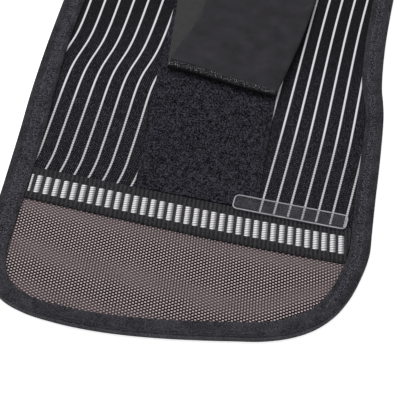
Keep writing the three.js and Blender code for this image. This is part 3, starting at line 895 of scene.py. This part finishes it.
# %% Finish of the tape
webbing = Finish("webbing", Roughness=0.7, Specular_IOR_Level=0.15)
count, off, face = webbing.cloth()
# Painted light: the rib crests are painted lighter and the grooves between them darker, where light and shade
# fall on the ribs.
rib_crest_light = abs((count * 2 + 0.5).part() - 0.5).step(0.40, 0.10)
row = off.ripple(0.8)
speckle = webbing.noise(0.6, detail=1).step(0.38, 0.66)
webbing.colour(webbing.mix(rib_crest_light * 0.40 + speckle * 0.45 - row * 0.20, shade(9, 9, 10), shade(64, 62, 67)))
webbing.bump(row * 0.08 + speckle * 0.06)
dress(webbing, "webbing", "tape_near", "tape_far")

block = Finish("ladder_block", Roughness=0.7, Specular_IOR_Level=0.2)
u, v, place = block.cloth()
thread = abs(((v * BLOCK_REACH - u * 0.5) / 1.5).part() - 0.5).step(0.15, 0.46)
frayed = abs(u) + block.noise(0.5, detail=1) * 0.6
# Painted shade: side darkens each block towards its right side, as if lit from the left.
side = u.step(-0.2, 0.7)
lit = (0.92 - side * 0.62) * (1.0 - thread * 0.70) * frayed.step(1.50, 0.95) * (0.80 + block.noise(0.8) * 0.4)
block.colour(block.mix(lit, shade(38, 36, 39), shade(236, 234, 237)))
block.bump(thread * -0.10)
dress(block, "webbing", "tape_blocks_near", "tape_blocks_far")

# %% [markdown]
# ## Loop panel
#
# The strap fastens anywhere on a panel of brushed loop pile. Pile has no smooth surface: it is a crowd of
# small curls. Here the panel's face is a fine grid that a seeded noise pushes up and down, more where curls
# stand together, and a flat margin with a stitched line is left round it, as on the real panel.

# %% The pile
PILE_MARGIN = 2.6
PILE_CURL = 0.28
PILE_LUMP = 0.16
MARGIN_DROP = 0.75
PILE_SETTLE = 0.25
PILE_COLUMNS = 110
SHOWN_ROWS, COVERED_ROWS = 150, 50
SEAM_INSET = 1.4


def leaning_plan(start, size, lean, shares, columns):
    """Plan grid of a straight panel that leans to the left: its middle line starts at the given place and
    goes back by its length times the sine of the lean."""
    share = shares[:, None]
    along = start[1] + share * size[1] * math.cos(lean)
    middle = start[0] - share * size[1] * math.sin(lean)
    across = middle + np.linspace(-0.5, 0.5, columns) * size[0] / math.cos(lean)
    return across, np.broadcast_to(along, across.shape)


def blurred(grid, times):
    """A grid smoothed by taking the mean of each point and its neighbours, several times over."""
    for _ in range(times):
        neighbours = [np.roll(grid, turn, axis) for axis in (0, 1) for turn in (1, -1)]
        grid = sum(neighbours, grid) / 5
    return grid / grid.std()


def loop_panel(end):
    """One loop panel: fine rows where the pile shows, coarse rows under the strap."""
    shown = STRAP_END_ALONG + 12
    fine = np.linspace(0, shown, SHOWN_ROWS)
    coarse = np.linspace(shown, LOOP_LENGTH, COVERED_ROWS)[1:]
    share = np.concatenate([fine, coarse]) / LOOP_LENGTH
    start, size = (LOOP_START_ACROSS, LOOP_START_ALONG), (LOOP_WIDTH, LOOP_LENGTH)
    across, along = leaning_plan(start, size, PANEL_LEAN, share, PILE_COLUMNS)
    beside = np.linspace(-0.5, 0.5, PILE_COLUMNS)[None, :] * LOOP_WIDTH + share[:, None] * 0
    inside = smooth_step(LOOP_WIDTH / 2 - np.abs(beside), PILE_MARGIN - 0.5, PILE_MARGIN + 0.6)
    curl = np.clip(blurred(draw.normal(size=across.shape), 1), -2, 2) * PILE_CURL
    lump = np.clip(blurred(draw.normal(size=across.shape), 12), -2, 2) * PILE_LUMP
    relief = inside * (curl * 0.5 + lump) - (1 - inside) * MARGIN_DROP
    rise = LAYER_GAP + LOOP_THICKNESS - PILE_SETTLE + relief
    if end == "far":
        across, along, rise, beside = across[::-1], FAR_ALONG - along[::-1], rise[::-1], beside[::-1]
        inside = inside[::-1]
    lower = web_top(across, along) + LAYER_GAP
    return make_sheet(f"loop_pile_{end}", across, along, lower, web_top(across, along) + rise,
                      (beside, along, inside + 0.5))


def panel_line(end, beside, share_from, share_to):
    """Row-frame points of a straight line on the loop panel, beside its middle line."""
    share = np.linspace(share_from, share_to, 120)
    along = LOOP_START_ALONG + share * LOOP_LENGTH * math.cos(PANEL_LEAN)
    across = LOOP_START_ACROSS - share * LOOP_LENGTH * math.sin(PANEL_LEAN) + beside / math.cos(PANEL_LEAN)
    along = FAR_ALONG - along if end == "far" else along
    level = web_top(across, along) + LAYER_GAP + LOOP_THICKNESS - PILE_SETTLE - MARGIN_DROP + 0.12
    return to_frame(across, along, level)


for end in ("near", "far"):
    loop_panel(end)
    seam = [panel_line(end, side * (LOOP_WIDTH / 2 - SEAM_INSET), 0.004, 0.99) for side in (-1, 1)]
    make_stitches(f"loop_seam_{end}", seam, length=2.4, gap=1.0, radius=0.22)

# %% Finish of the pile
pile = Finish("loop_pile", Roughness=0.95, Specular_IOR_Level=0.1)
beside, along, inside = pile.cloth()
fuzz = pile.noise(0.8, detail=1)
tuft = pile.noise(3.2, detail=2)
pile.colour(pile.mix((fuzz * 0.75 + tuft * 0.25).step(0.38, 0.70), shade(4, 4, 6), shade(64, 62, 72)))
pile.bump(fuzz * 0.6)
dress(pile, "loop_pile", "loop_pile_near", "loop_pile_far")

dark_thread = Finish("dark_thread", Roughness=0.7, Specular_IOR_Level=0.2)
dark_thread.colour(dark_thread.mix(dark_thread.noise(0.4), shade(26, 25, 29), shade(54, 52, 57)))
dress(dark_thread, "loop_pile", "loop_seam_near", "loop_seam_far")

# %% [markdown]
# ## Tension strap and its hook tabs
#
# The second strap pulls the belt tight after it is closed. It is a smooth fine-woven elastic that ends in an
# overlocked hem, with a hook tab sewn beneath it. The strap is one sheet over the whole back; its hem is
# worked with two zigzag threads that cross, which is what an overlock machine leaves.

# %% The strap
STRAP_RUN = HALF_SPAN - STRAP_END_ALONG
STRAP_RAMP = 14.0


def strap_middle(along):
    """Across place of the strap's middle line."""
    return read_table(STRAP, "across", (mirrored(along) - STRAP_END_ALONG) / STRAP_RUN) * BELT_WIDTH


lean_step = STRAP_RUN / 100
strap_rise = float(strap_middle(STRAP_END_ALONG + lean_step) - strap_middle(STRAP_END_ALONG))
STRAP_LEAN = math.atan(strap_rise / lean_step)
TAB_START = STRAP_END_ALONG + HOOK_TAB_SET_BACK + STRAP_WIDTH * 0.5 * math.tan(STRAP_LEAN)


def strap_underside(along):
    """Level of the strap's underside above the web: over tab and panel, then panel, then web alone, with a
    soft ramp of 14 mm past each end."""
    from_end = mirrored(along) - STRAP_END_ALONG
    over_loop = LOOP_THICKNESS + 2 * LAYER_GAP
    over_tab = over_loop + HOOK_THICKNESS + LAYER_GAP
    tab_end = TAB_START + HOOK_TAB_LENGTH - STRAP_END_ALONG + 4
    loop_end = LOOP_START_ALONG + LOOP_LENGTH - STRAP_END_ALONG + 6
    off_tab = smooth_step(from_end, tab_end, tab_end + STRAP_RAMP)
    off_loop = smooth_step(from_end, loop_end, loop_end + STRAP_RAMP)
    return over_tab - (over_tab - over_loop) * off_tab - (over_loop - LAYER_GAP) * off_loop


def strap_plan(along, beside):
    """Plan places of the strap, for places along its middle line and shares of its width beside it: each
    row is square to the middle line."""
    before, after = np.maximum(along - 1, STRAP_END_ALONG), np.minimum(along + 1, FAR_ALONG - STRAP_END_ALONG)
    middle = strap_middle(along)
    run = np.stack([strap_middle(after) - strap_middle(before), after - before])
    run = run / np.linalg.norm(run, axis=0)
    width = STRAP_WIDTH * read_table(STRAP, "width", (mirrored(along) - STRAP_END_ALONG) / STRAP_RUN)
    return middle + beside * width * run[1], along - beside * width * run[0], width


def strap_top(across, row_along, along):
    """Level of the strap's outer face, thicker on the hem."""
    from_end = mirrored(row_along) - STRAP_END_ALONG
    hem = 1 - smooth_step(from_end, STRAP_HEM_LENGTH - 0.4, STRAP_HEM_LENGTH + 0.6)
    thickness = STRAP_THICKNESS + (HEM_THICKNESS - STRAP_THICKNESS) * hem
    rounded = 0.7 * (1 - smooth_step(from_end, 0.0, 0.9))
    return web_top(across, along) + strap_underside(row_along) + thickness - rounded


STRAP_COLUMNS = 45
near_rows = np.array([0, 0.25, 0.6, 1.0, 2.0, 3.0, 3.6, 4.0, 4.6, 6, 8])
strap_rows = np.concatenate([STRAP_END_ALONG + near_rows, np.arange(STRAP_END_ALONG + 10.5, HALF_SPAN, 2.5)])
strap_rows = np.concatenate([strap_rows, [HALF_SPAN], FAR_ALONG - strap_rows[::-1]])[:, None]
beside = np.linspace(-1, 1, STRAP_COLUMNS)
beside = (np.sign(beside) * (1 - (1 - np.abs(beside)) ** 1.25) / 2)[None, :]
across, along, width = strap_plan(strap_rows, beside)
from_edge = (0.5 - np.abs(beside)) * width
roll = 0.75 * (1 - smooth_step(from_edge, 0, 0.9)) - 0.10 * (1 - smooth_step(np.abs(from_edge - 1.3), 0, 0.9))
lower = web_top(across, along) + strap_underside(strap_rows)
make_sheet("strap", across, along, lower, strap_top(across, strap_rows, along) - roll,
           (beside * width, np.broadcast_to(strap_rows, across.shape), 1.0))


# %% Overlock threads on the hems
def overlock(end, phase, period=2.2, low=0.1, high=3.9, steps=5):
    """A zigzag thread over the hem: its distance from the hem's edge is a triangle wave of the place
    beside the middle line."""
    turns = int(STRAP_WIDTH / period)
    beside = np.linspace(-0.497, 0.497, turns * steps * 2 + 1)
    climb = np.abs(((beside * STRAP_WIDTH / period + phase) % 1) * 2 - 1)
    along = STRAP_END_ALONG + low + (high - low) * climb
    row = FAR_ALONG - along if end == "far" else along
    across, place, _ = strap_plan(row, beside)
    level = strap_top(across, row, place) + 0.12
    return to_frame(across, place, level)


for end in ("near", "far"):
    make_thread(f"hem_overlock_{end}", [overlock(end, 0.0), overlock(end, 0.5)], radius=0.13)

# %% Hook tabs
TAB_ROWS, TAB_COLUMNS = 37, 34
tab_start, tab_size = (float(strap_middle(STRAP_END_ALONG)), TAB_START), (HOOK_TAB_WIDTH, HOOK_TAB_LENGTH)
for end in ("near", "far"):
    across, along = leaning_plan(tab_start, tab_size, TAB_LEAN, np.linspace(0, 1, TAB_ROWS), TAB_COLUMNS)
    cloth = (across, along, 1.0)
    if end == "far":
        across, along = across[::-1], FAR_ALONG - along[::-1]
    under = web_top(across, along) + LOOP_THICKNESS + 2 * LAYER_GAP
    make_sheet(f"hook_tab_{end}", across, along, under, under + HOOK_THICKNESS, cloth)

# %% Finish of the strap and tabs
strap_cloth = Finish("strap_cloth", Roughness=0.85, Specular_IOR_Level=0.12)
beside, run, face = strap_cloth.cloth()
ribs = beside.ripple(0.8) * run.ripple(0.7)
mottle = strap_cloth.noise(9, detail=3)
hem = abs(run - HALF_SPAN).step(STRAP_RUN - STRAP_HEM_LENGTH - 1.0, STRAP_RUN - STRAP_HEM_LENGTH)
# Painted shade: face darkens the strap's underside and its end walls against its outer face.
tone = (mottle * 0.6 + ribs * 0.2) * face.step(0.4, 0.95) * (1.0 - hem * 0.75)
strap_cloth.colour(strap_cloth.mix(tone, shade(18, 17, 19), shade(66, 64, 69)))
strap_cloth.bump(ribs * 0.06 + strap_cloth.noise(0.4) * 0.05)
dress(strap_cloth, "strap_fabric", "strap")

hem_thread = Finish("hem_thread", Roughness=0.6, Specular_IOR_Level=0.25)
lustre = hem_thread.noise(0.8).step(0.48, 0.70)
hem_thread.colour(hem_thread.mix(lustre, shade(24, 23, 26), shade(156, 154, 159)))
dress(hem_thread, "strap_fabric", "hem_overlock_near", "hem_overlock_far")

hook_tape = Finish("hook_tape", Roughness=0.6, Specular_IOR_Level=0.2)
across, along, face = hook_tape.cloth()
hooks = across.ripple(1.1) * along.ripple(1.3)
hook_tape.colour(hook_tape.mix(hooks * 0.6 + hook_tape.noise(4) * 0.4, shade(30, 29, 30), shade(66, 64, 65)))
hook_tape.bump(hooks * 0.25)
dress(hook_tape, "hook_tape", "hook_tab_near", "hook_tab_far")

# %% [markdown]
# ## Edge binding
#
# A soft knit tape is folded round the whole edge and sewn through with a zigzag. On the long sides the
# stitches pull a trough into it between a smooth inner lip and a smooth outer roll. Round the ends the tape
# is stretched, so it lies smooth there, with a fine groove beside its roll. One section is carried along
# the outline and changes from the one form to the other.

# %% The binding's section
LIP = {
    "inset": [0.0, 0.0, 0.15, 0.6, 1.2, 1.8, 2.4],
    "side": [0.30, 0.90, 1.35, 1.60, 1.68, 1.64, 1.50],
    "end": [0.30, 0.90, 1.28, 1.50, 1.58, 1.62, 1.64],
}
TROUGH = {
    "share": [0.86, 0.68, 0.50, 0.32, 0.14],
    "side": [1.40, 1.36, 1.36, 1.36, 1.40],
    "end": [1.66, 1.66, 1.66, 1.66, 1.64],
}
ROLL = {
    "inset": [4.2, 3.6, 3.0, 2.4, 1.9, 1.5, 1.1, 0.7, 0.35, 0.12, 0.04],
    "side": [1.50, 1.62, 1.70, 1.74, 1.74, 1.70, 1.60, 1.40, 1.00, 0.50, -0.30],
    "end": [1.62, 1.60, 1.56, 1.50, 1.40, 1.16, 1.44, 1.42, 1.10, 0.55, -0.20],
}
LOWER_FOLD = {
    "share": [0.004, 0.030, 0.090, 0.250, 0.900, 0.990, 1.000],
    "fall": [0.10, 0.95, 1.42, 1.58, 1.58, 1.30, 0.30],
}
END_FROM, END_TO = 34.0, 62.0
edge_end = smooth_step(-mirrored(edge[:, 1]), END_FROM, END_TO)[:, None]
trough_start = ROLL["inset"][0]
trough_width = binding_reach - LIP["inset"][-1] - trough_start


def blend(stretch):
    """A stretch's levels at each step of the outline: those of the long sides fade into those of the end."""
    return np.array(stretch["side"]) * (1 - edge_end) + np.array(stretch["end"]) * edge_end


def section_points():
    """Insets and levels of the whole section at each step of the outline: lip, trough and roll of the upper
    fold, then the lower fold and the slot that holds the web's edge. The lip and the roll keep their
    widths, and the trough takes what is left."""
    lip = binding_reach - np.array(LIP["inset"])
    trough = trough_start + trough_width * np.array(TROUGH["share"])
    roll = np.broadcast_to(ROLL["inset"], (len(edge), len(ROLL["inset"])))
    upper_inset, rise = np.hstack([lip, trough, roll]), np.hstack([blend(LIP), blend(TROUGH), blend(ROLL)])
    lower_inset = binding_reach * np.array(LOWER_FOLD["share"])
    slot = np.full((len(edge), 2), BINDING_WALL + LAYER_GAP)
    inset = np.hstack([upper_inset, lower_inset, slot])
    across = edge[:, :1] + edge_inward[:, :1] * inset
    along = edge[:, 1:] + edge_inward[:, 1:] * inset
    top, bottom = web_top(across, along), web_bottom(across, along)
    upper, lower = upper_inset.shape[1], lower_inset.shape[1]
    level = np.hstack([top[:, :upper] + rise, bottom[:, upper:upper + lower] - np.array(LOWER_FOLD["fall"]),
                       bottom[:, -2:-1] - LAYER_GAP, top[:, -1:] + LAYER_GAP])
    in_trough = np.zeros(inset.shape[1])
    in_trough[lip.shape[1]:lip.shape[1] + trough.shape[1]] = 1
    mark = in_trough * (1 - edge_end) - edge_end
    return across, along, level, np.hstack([upper_inset, -lower_inset, -slot]), mark


across, along, level, marked, mark = section_points()
binding_cloth = np.stack(np.broadcast_arrays(edge_length[:, None], marked, mark), axis=-1).reshape(-1, 3)
make_piece("binding", to_frame(across, along, level), sweep_faces(*across.shape, closed=True), binding_cloth)


# %% Zigzag stitches on the long sides
ZIGZAG_PERIOD = 1.75
ZIGZAG_STEPS = 6
ZIGZAG_END = 46.0


def zigzag(side):
    """A zigzag thread down one long side, from corner to corner: its inset is a rounded triangle wave of
    the distance along the edge, as wide as the trough, and it dips into the knit at each turn."""
    order = np.argsort(edge[:, 1])
    shown = (edge[order, 1] > -ZIGZAG_END) & (edge[order, 1] < FAR_ALONG + ZIGZAG_END)
    chosen = order[shown & ((edge[order, 0] > 0) == (side == "right"))]
    line = np.hstack([edge, edge_inward, trough_width])[chosen]
    far = np.concatenate([[0], np.cumsum(np.linalg.norm(np.diff(line[:, :2], axis=0), axis=1))])
    at = np.arange(0, far[-1], ZIGZAG_PERIOD / ZIGZAG_STEPS)
    x, y, inward_x, inward_y, room = (np.interp(at, far, column) for column in line.T)
    swing = np.abs((at / ZIGZAG_PERIOD % 1) * 4 - 2) - 1
    inset = trough_start + room * (0.5 + 0.46 * np.clip(swing * 1.15, -1, 1))
    across, along = x + inward_x * inset, y + inward_y * inset
    lift = 1.56 - 0.30 * smooth_step(np.abs(swing), 0.6, 1.0)
    return to_frame(across, along, web_top(across, along) + lift)


make_thread("binding_zigzag", [zigzag("left"), zigzag("right")], radius=0.2, sides=4)

# %% Finish of the binding
knit = Finish("binding_knit", Roughness=0.9, Specular_IOR_Level=0.12)
run, inset, mark = knit.cloth()
trough, end = mark.step(0.0, 1.0), (mark * -1.0).step(0.0, 1.0)
wale = (inset + run.ripple(0.95) * 0.2).ripple(0.8)
fleck = knit.noise(0.7, detail=1).step(0.42, 0.62)
# Painted shade: a dark dimple once each stitch period in the trough, where the needle pulls the knit in.
shaded_dimple = (run / ZIGZAG_PERIOD).ripple(1.0).step(0.2, 0.9) * trough
rib = (inset / 0.7).ripple(1.0) * end
fuzz = knit.noise(0.6, detail=1).step(0.36, 0.68)
worn = knit.noise(9).step(0.35, 0.65)
tone = 0.12 + wale * 0.10 + fuzz * 0.36 + worn * 0.12 + rib * 0.14
# Painted shade: the trough is painted a little darker as a shaded recess, and its dimples darker still.
tone = tone - trough * 0.10 + trough * fleck * 0.85 - shaded_dimple * 0.12
knit.colour(knit.mix(tone.step(0.0, 1.2), shade(7, 7, 9), shade(88, 86, 93)))
knit.bump(wale * 0.06 + fuzz * 0.10 + fleck * trough * 0.12 - shaded_dimple * 0.3 + rib * 0.16)
dress(knit, "binding_knit", "binding")

bind_thread = Finish("binding_thread", Roughness=0.7, Specular_IOR_Level=0.2)
lustre = bind_thread.noise(0.6).step(0.38, 0.64)
bind_thread.colour(bind_thread.mix(lustre, shade(26, 25, 31), shade(112, 111, 124)))
dress(bind_thread, "binding_knit", "binding_zigzag")

# %% [markdown]
# ## Tape seams, tag and closure pad
#
# Small work finishes the belt. Black running stitches hold the tape. Above it lies a bare tag of clear
# soft plastic with a light raised rim. Under the near end lies the hook pad that closes the belt.

# %% Seams along the tape
TAPE_SEAM = 0.445
for end in ("near", "far"):
    seams = []
    for share in (-TAPE_SEAM, TAPE_SEAM):
        left, right = (float(side_edge(side, 0.0, binding_reach + 1)) for side in ("left", "right"))
        across = np.linspace(left, right, 400)
        along = tape_line(across, share)
        along = FAR_ALONG - along if end == "far" else along
        level = web_top(across, along) + LAYER_GAP + TAPE_THICKNESS + RIB_HEIGHT * 0.8
        seams.append(to_frame(across, along, level))
    make_stitches(f"tape_seam_{end}", seams, length=2.0, gap=1.2, radius=0.2)
tape_thread = Finish("tape_thread", Roughness=0.7, Specular_IOR_Level=0.2)
tape_thread.colour(tape_thread.mix(tape_thread.noise(0.4), shade(26, 25, 28), shade(60, 58, 62)))
dress(tape_thread, "webbing", "tape_seam_near", "tape_seam_far")

# %% Clear tag
TAG_CORNER = 3.0
RIM_INSET, RIM_RADIUS, RIM_RISE = 0.55, 0.35, 0.52
TAG_INSETS = [0.5, 0.35, 0.35, 0.9]
TAG_RISES = [0.0, 0.1, 0.5, 0.62]
tag_low, tag_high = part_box("tag")
TAG_LENGTH, TAG_WIDTH, _ = (tag_high - tag_low) / MM
TAG_ACROSS = (tag_low.x + tag_high.x) / 2 / MM - ACROSS_ZERO
TAG_ALONG = (tag_low.y + tag_high.y) / 2 / MM - ALONG_ZERO
TAG_LEVEL = tag_low.z / MM


def rounded_line(length, width, corner, steps=7):
    """Anticlockwise corners of a rounded rectangle: a quarter circle round each corner's middle."""
    angle = np.linspace(0, np.pi / 2, steps)
    quarter = np.stack([np.cos(angle), np.sin(angle)], axis=1) * corner
    turned = []
    for number, (x, y) in enumerate(((1, 1), (-1, 1), (-1, -1), (1, -1))):
        cos, sin = round(math.cos(number * math.pi / 2)), round(math.sin(number * math.pi / 2))
        arc = quarter @ np.array([[cos, sin], [-sin, cos]])
        turned.append(arc + [x * (length / 2 - corner), y * (width / 2 - corner)])
    return np.vstack(turned)


def rounded_plate(name, insets, levels, size, place, turn):
    """A plate with a rounded outline: rings moved in by each inset at each level, the first and last ring
    closed by a face."""
    length, width, corner = size
    rings = []
    for inset, level in zip(insets, levels):
        ring = rounded_line(length - 2 * inset, width - 2 * inset, max(corner - inset, 0.3))
        cos, sin = math.cos(turn), math.sin(turn)
        ring = ring @ np.array([[cos, sin], [-sin, cos]])
        rings.append(to_frame(ring[:, 0] + place[0], ring[:, 1] + place[1], level))
    points = np.stack(rings)
    corners = points.shape[1]
    cloth = np.stack(np.broadcast_arrays(np.array(insets)[:, None], np.arange(corners), 1.0), -1)
    return make_piece(name, points, sweep_faces(len(insets), corners, closed=False), cloth.reshape(-1, 3))


tag_size, tag_place = (TAG_LENGTH, TAG_WIDTH, TAG_CORNER), (TAG_ACROSS, TAG_ALONG)
tag_levels = [TAG_LEVEL + rise for rise in TAG_RISES]
rounded_plate("tag_plate", TAG_INSETS, tag_levels, tag_size, tag_place, 0.0)


def tag_rim():
    """The rim: a round bead of 0.7 mm carried round the plate's outline."""
    length, width = TAG_LENGTH - 2 * RIM_INSET, TAG_WIDTH - 2 * RIM_INSET
    ring = rounded_line(length, width, TAG_CORNER - RIM_INSET, steps=9)
    path = to_frame(ring[:, 0] + TAG_ACROSS, ring[:, 1] + TAG_ALONG, TAG_LEVEL + RIM_RISE)
    points = thread_points(path, RIM_RADIUS * MM, 8, closed=True)
    cloth = np.broadcast_to([0.0, 0.0, 1.0], (points.size // 3, 3))
    return make_piece("tag_rim", points, sweep_faces(len(path), 8, closed=True), cloth)


tag_rim()
clear = Finish("clear_plastic", Roughness=0.3, IOR=1.45, Specular_IOR_Level=0.25)
clear.colour(clear.mix(clear.noise(8), shade(60, 61, 66), shade(120, 121, 126)))
clear.feed(clear.shader.inputs["Alpha"], clear.noise(15).step(0.2, 0.8) * 0.06 + 0.08)
dress(clear, "clear_plastic", "tag_plate")
rim = Finish("tag_rim", Roughness=0.3, Specular_IOR_Level=0.3)
rim.colour(rim.mix(rim.noise(5), shade(120, 120, 126), shade(190, 190, 196)))
dress(rim, "clear_plastic", "tag_rim")

# %% Closure pad
PAD_SIZE = (60.0, 96.0, 6.0)
PAD_PLACE = (LOOP_START_ACROSS, -10.0)
rounded_plate("closure_pad", [0.4, 0.0, 0.0, 0.4], [0.0, 0.3, HOOK_THICKNESS - 0.3, HOOK_THICKNESS],
              PAD_SIZE, PAD_PLACE, PANEL_LEAN)
pad_hooks = Finish("pad_hooks", Roughness=0.6, Specular_IOR_Level=0.2)
pad_hooks.colour(pad_hooks.mix(pad_hooks.noise(1.2), shade(22, 21, 24), shade(60, 59, 62)))
pad_hooks.bump(pad_hooks.noise(1.0) * 0.3)
dress(pad_hooks, "hook_tape", "closure_pad")

# %% [markdown]
# ## Riding and replacing
#
# Every piece rides on the belt's one body. Each cloth, the tag's plate and the pad stand for their packed
# solids, which are hidden, and the threads, blocks and stripes are added to them.

# %% Riding and replacing
STANDS_FOR = {
    "elastic_web": ["elastic_body"],
    "nylon_panel_near": ["end_panel_near"],
    "nylon_panel_far": ["end_panel_far"],
    "tape_near": ["ladder_tape_near"],
    "tape_far": ["ladder_tape_far"],
    "loop_pile_near": ["loop_panel_near"],
    "loop_pile_far": ["loop_panel_far"],
    "strap": ["tension_strap"],
    "hook_tab_near": ["strap_hook_tab_near"],
    "hook_tab_far": ["strap_hook_tab_far"],
    "binding": ["edge_binding"],
    "tag_plate": ["tag"],
    "closure_pad": ["closure_hook_pad"],
}
for piece in pieces.values():
    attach(piece, "root")
for name, nodes in STANDS_FOR.items():
    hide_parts(*nodes)

panel_area = float((plan_across[:-1, -1] - plan_across[:-1, 0]) @ np.diff(plan_along[:, 0])) * MM**2

# %% [markdown]
# ## Floor, light and camera
#
# The belt lies on a plain white surface in even daylight: a bright surround gives the soft fill, and one
# large lamp from above and behind gives the cloth its shape. The camera is a long lens well above the
# belt, a little to the right of the end.

# %% Floor
def make_floor():
    """A wide flat square that the belt rests on."""
    reach, level = 6.0, -0.0002
    mesh = bpy.data.meshes.new("floor")
    corners = [(-reach, -reach, level), (reach, -reach, level), (reach, reach, level), (-reach, reach, level)]
    mesh.from_pydata(corners, [], [(0, 1, 2, 3)])
    floor = bpy.data.objects.new("floor", mesh)
    bpy.context.scene.collection.objects.link(floor)
    finish = Finish("floor", Roughness=0.9, Specular_IOR_Level=0.1, Emission_Color=(1, 1, 1, 1),
                    Emission_Strength=0.6)
    finish.colour(finish.mix(finish.noise(300), (0.93, 0.93, 0.93, 1), (0.95, 0.95, 0.95, 1)))
    mesh.materials.append(finish.material)


make_floor()

# %% Light
WORLD_STRENGTH = 0.7
LAMP_PLACE, LAMP_AIM = (-0.7, 0.5, 1.6), (0, -0.3, 0)
LAMP_SIZE, LAMP_POWER = 1.2, 22.0
world = bpy.data.worlds.new("studio")
bpy.context.scene.world = world
world.use_nodes = True
world.node_tree.nodes["Background"].inputs["Color"].default_value = (1.0, 1.0, 1.0, 1.0)
world.node_tree.nodes["Background"].inputs["Strength"].default_value = WORLD_STRENGTH


def make_lamp(name, place, aim, size, power):
    """A square area lamp at a place, facing its aim."""
    lamp = bpy.data.lights.new(name, "AREA")
    lamp.size, lamp.energy = size, power
    holder = bpy.data.objects.new(name, lamp)
    bpy.context.scene.collection.objects.link(holder)
    holder.location = place
    holder.rotation_euler = (Vector(aim) - Vector(place)).to_track_quat("-Z", "Y").to_euler()


make_lamp("key", LAMP_PLACE, LAMP_AIM, LAMP_SIZE, LAMP_POWER)
bpy.context.scene.view_settings.view_transform = "Standard"

# %% Camera
CAMERA_AZIMUTH, CAMERA_ELEVATION = 0.23702, 0.92660
CAMERA_AIM = Vector((ACROSS_ZERO + 13.19, ALONG_ZERO + 5.74, 3.6)) * MM
CAMERA_DISTANCE = 1.2226
CAMERA_LENS = 194.7
ahead = math.cos(CAMERA_ELEVATION)
back = Vector((math.sin(CAMERA_AZIMUTH) * ahead, -math.cos(CAMERA_AZIMUTH) * ahead,
               math.sin(CAMERA_ELEVATION)))
right = Vector((math.cos(CAMERA_AZIMUTH), math.sin(CAMERA_AZIMUTH), 0))
up = back.cross(right)
camera = bpy.data.objects.new("camera", bpy.data.cameras.new("camera"))
bpy.context.scene.collection.objects.link(camera)
camera.data.lens = CAMERA_LENS
turn = Matrix((right, up, back)).transposed().to_4x4()
camera.matrix_world = Matrix.Translation(CAMERA_AIM + back * CAMERA_DISTANCE) @ turn
bpy.context.scene.camera = camera
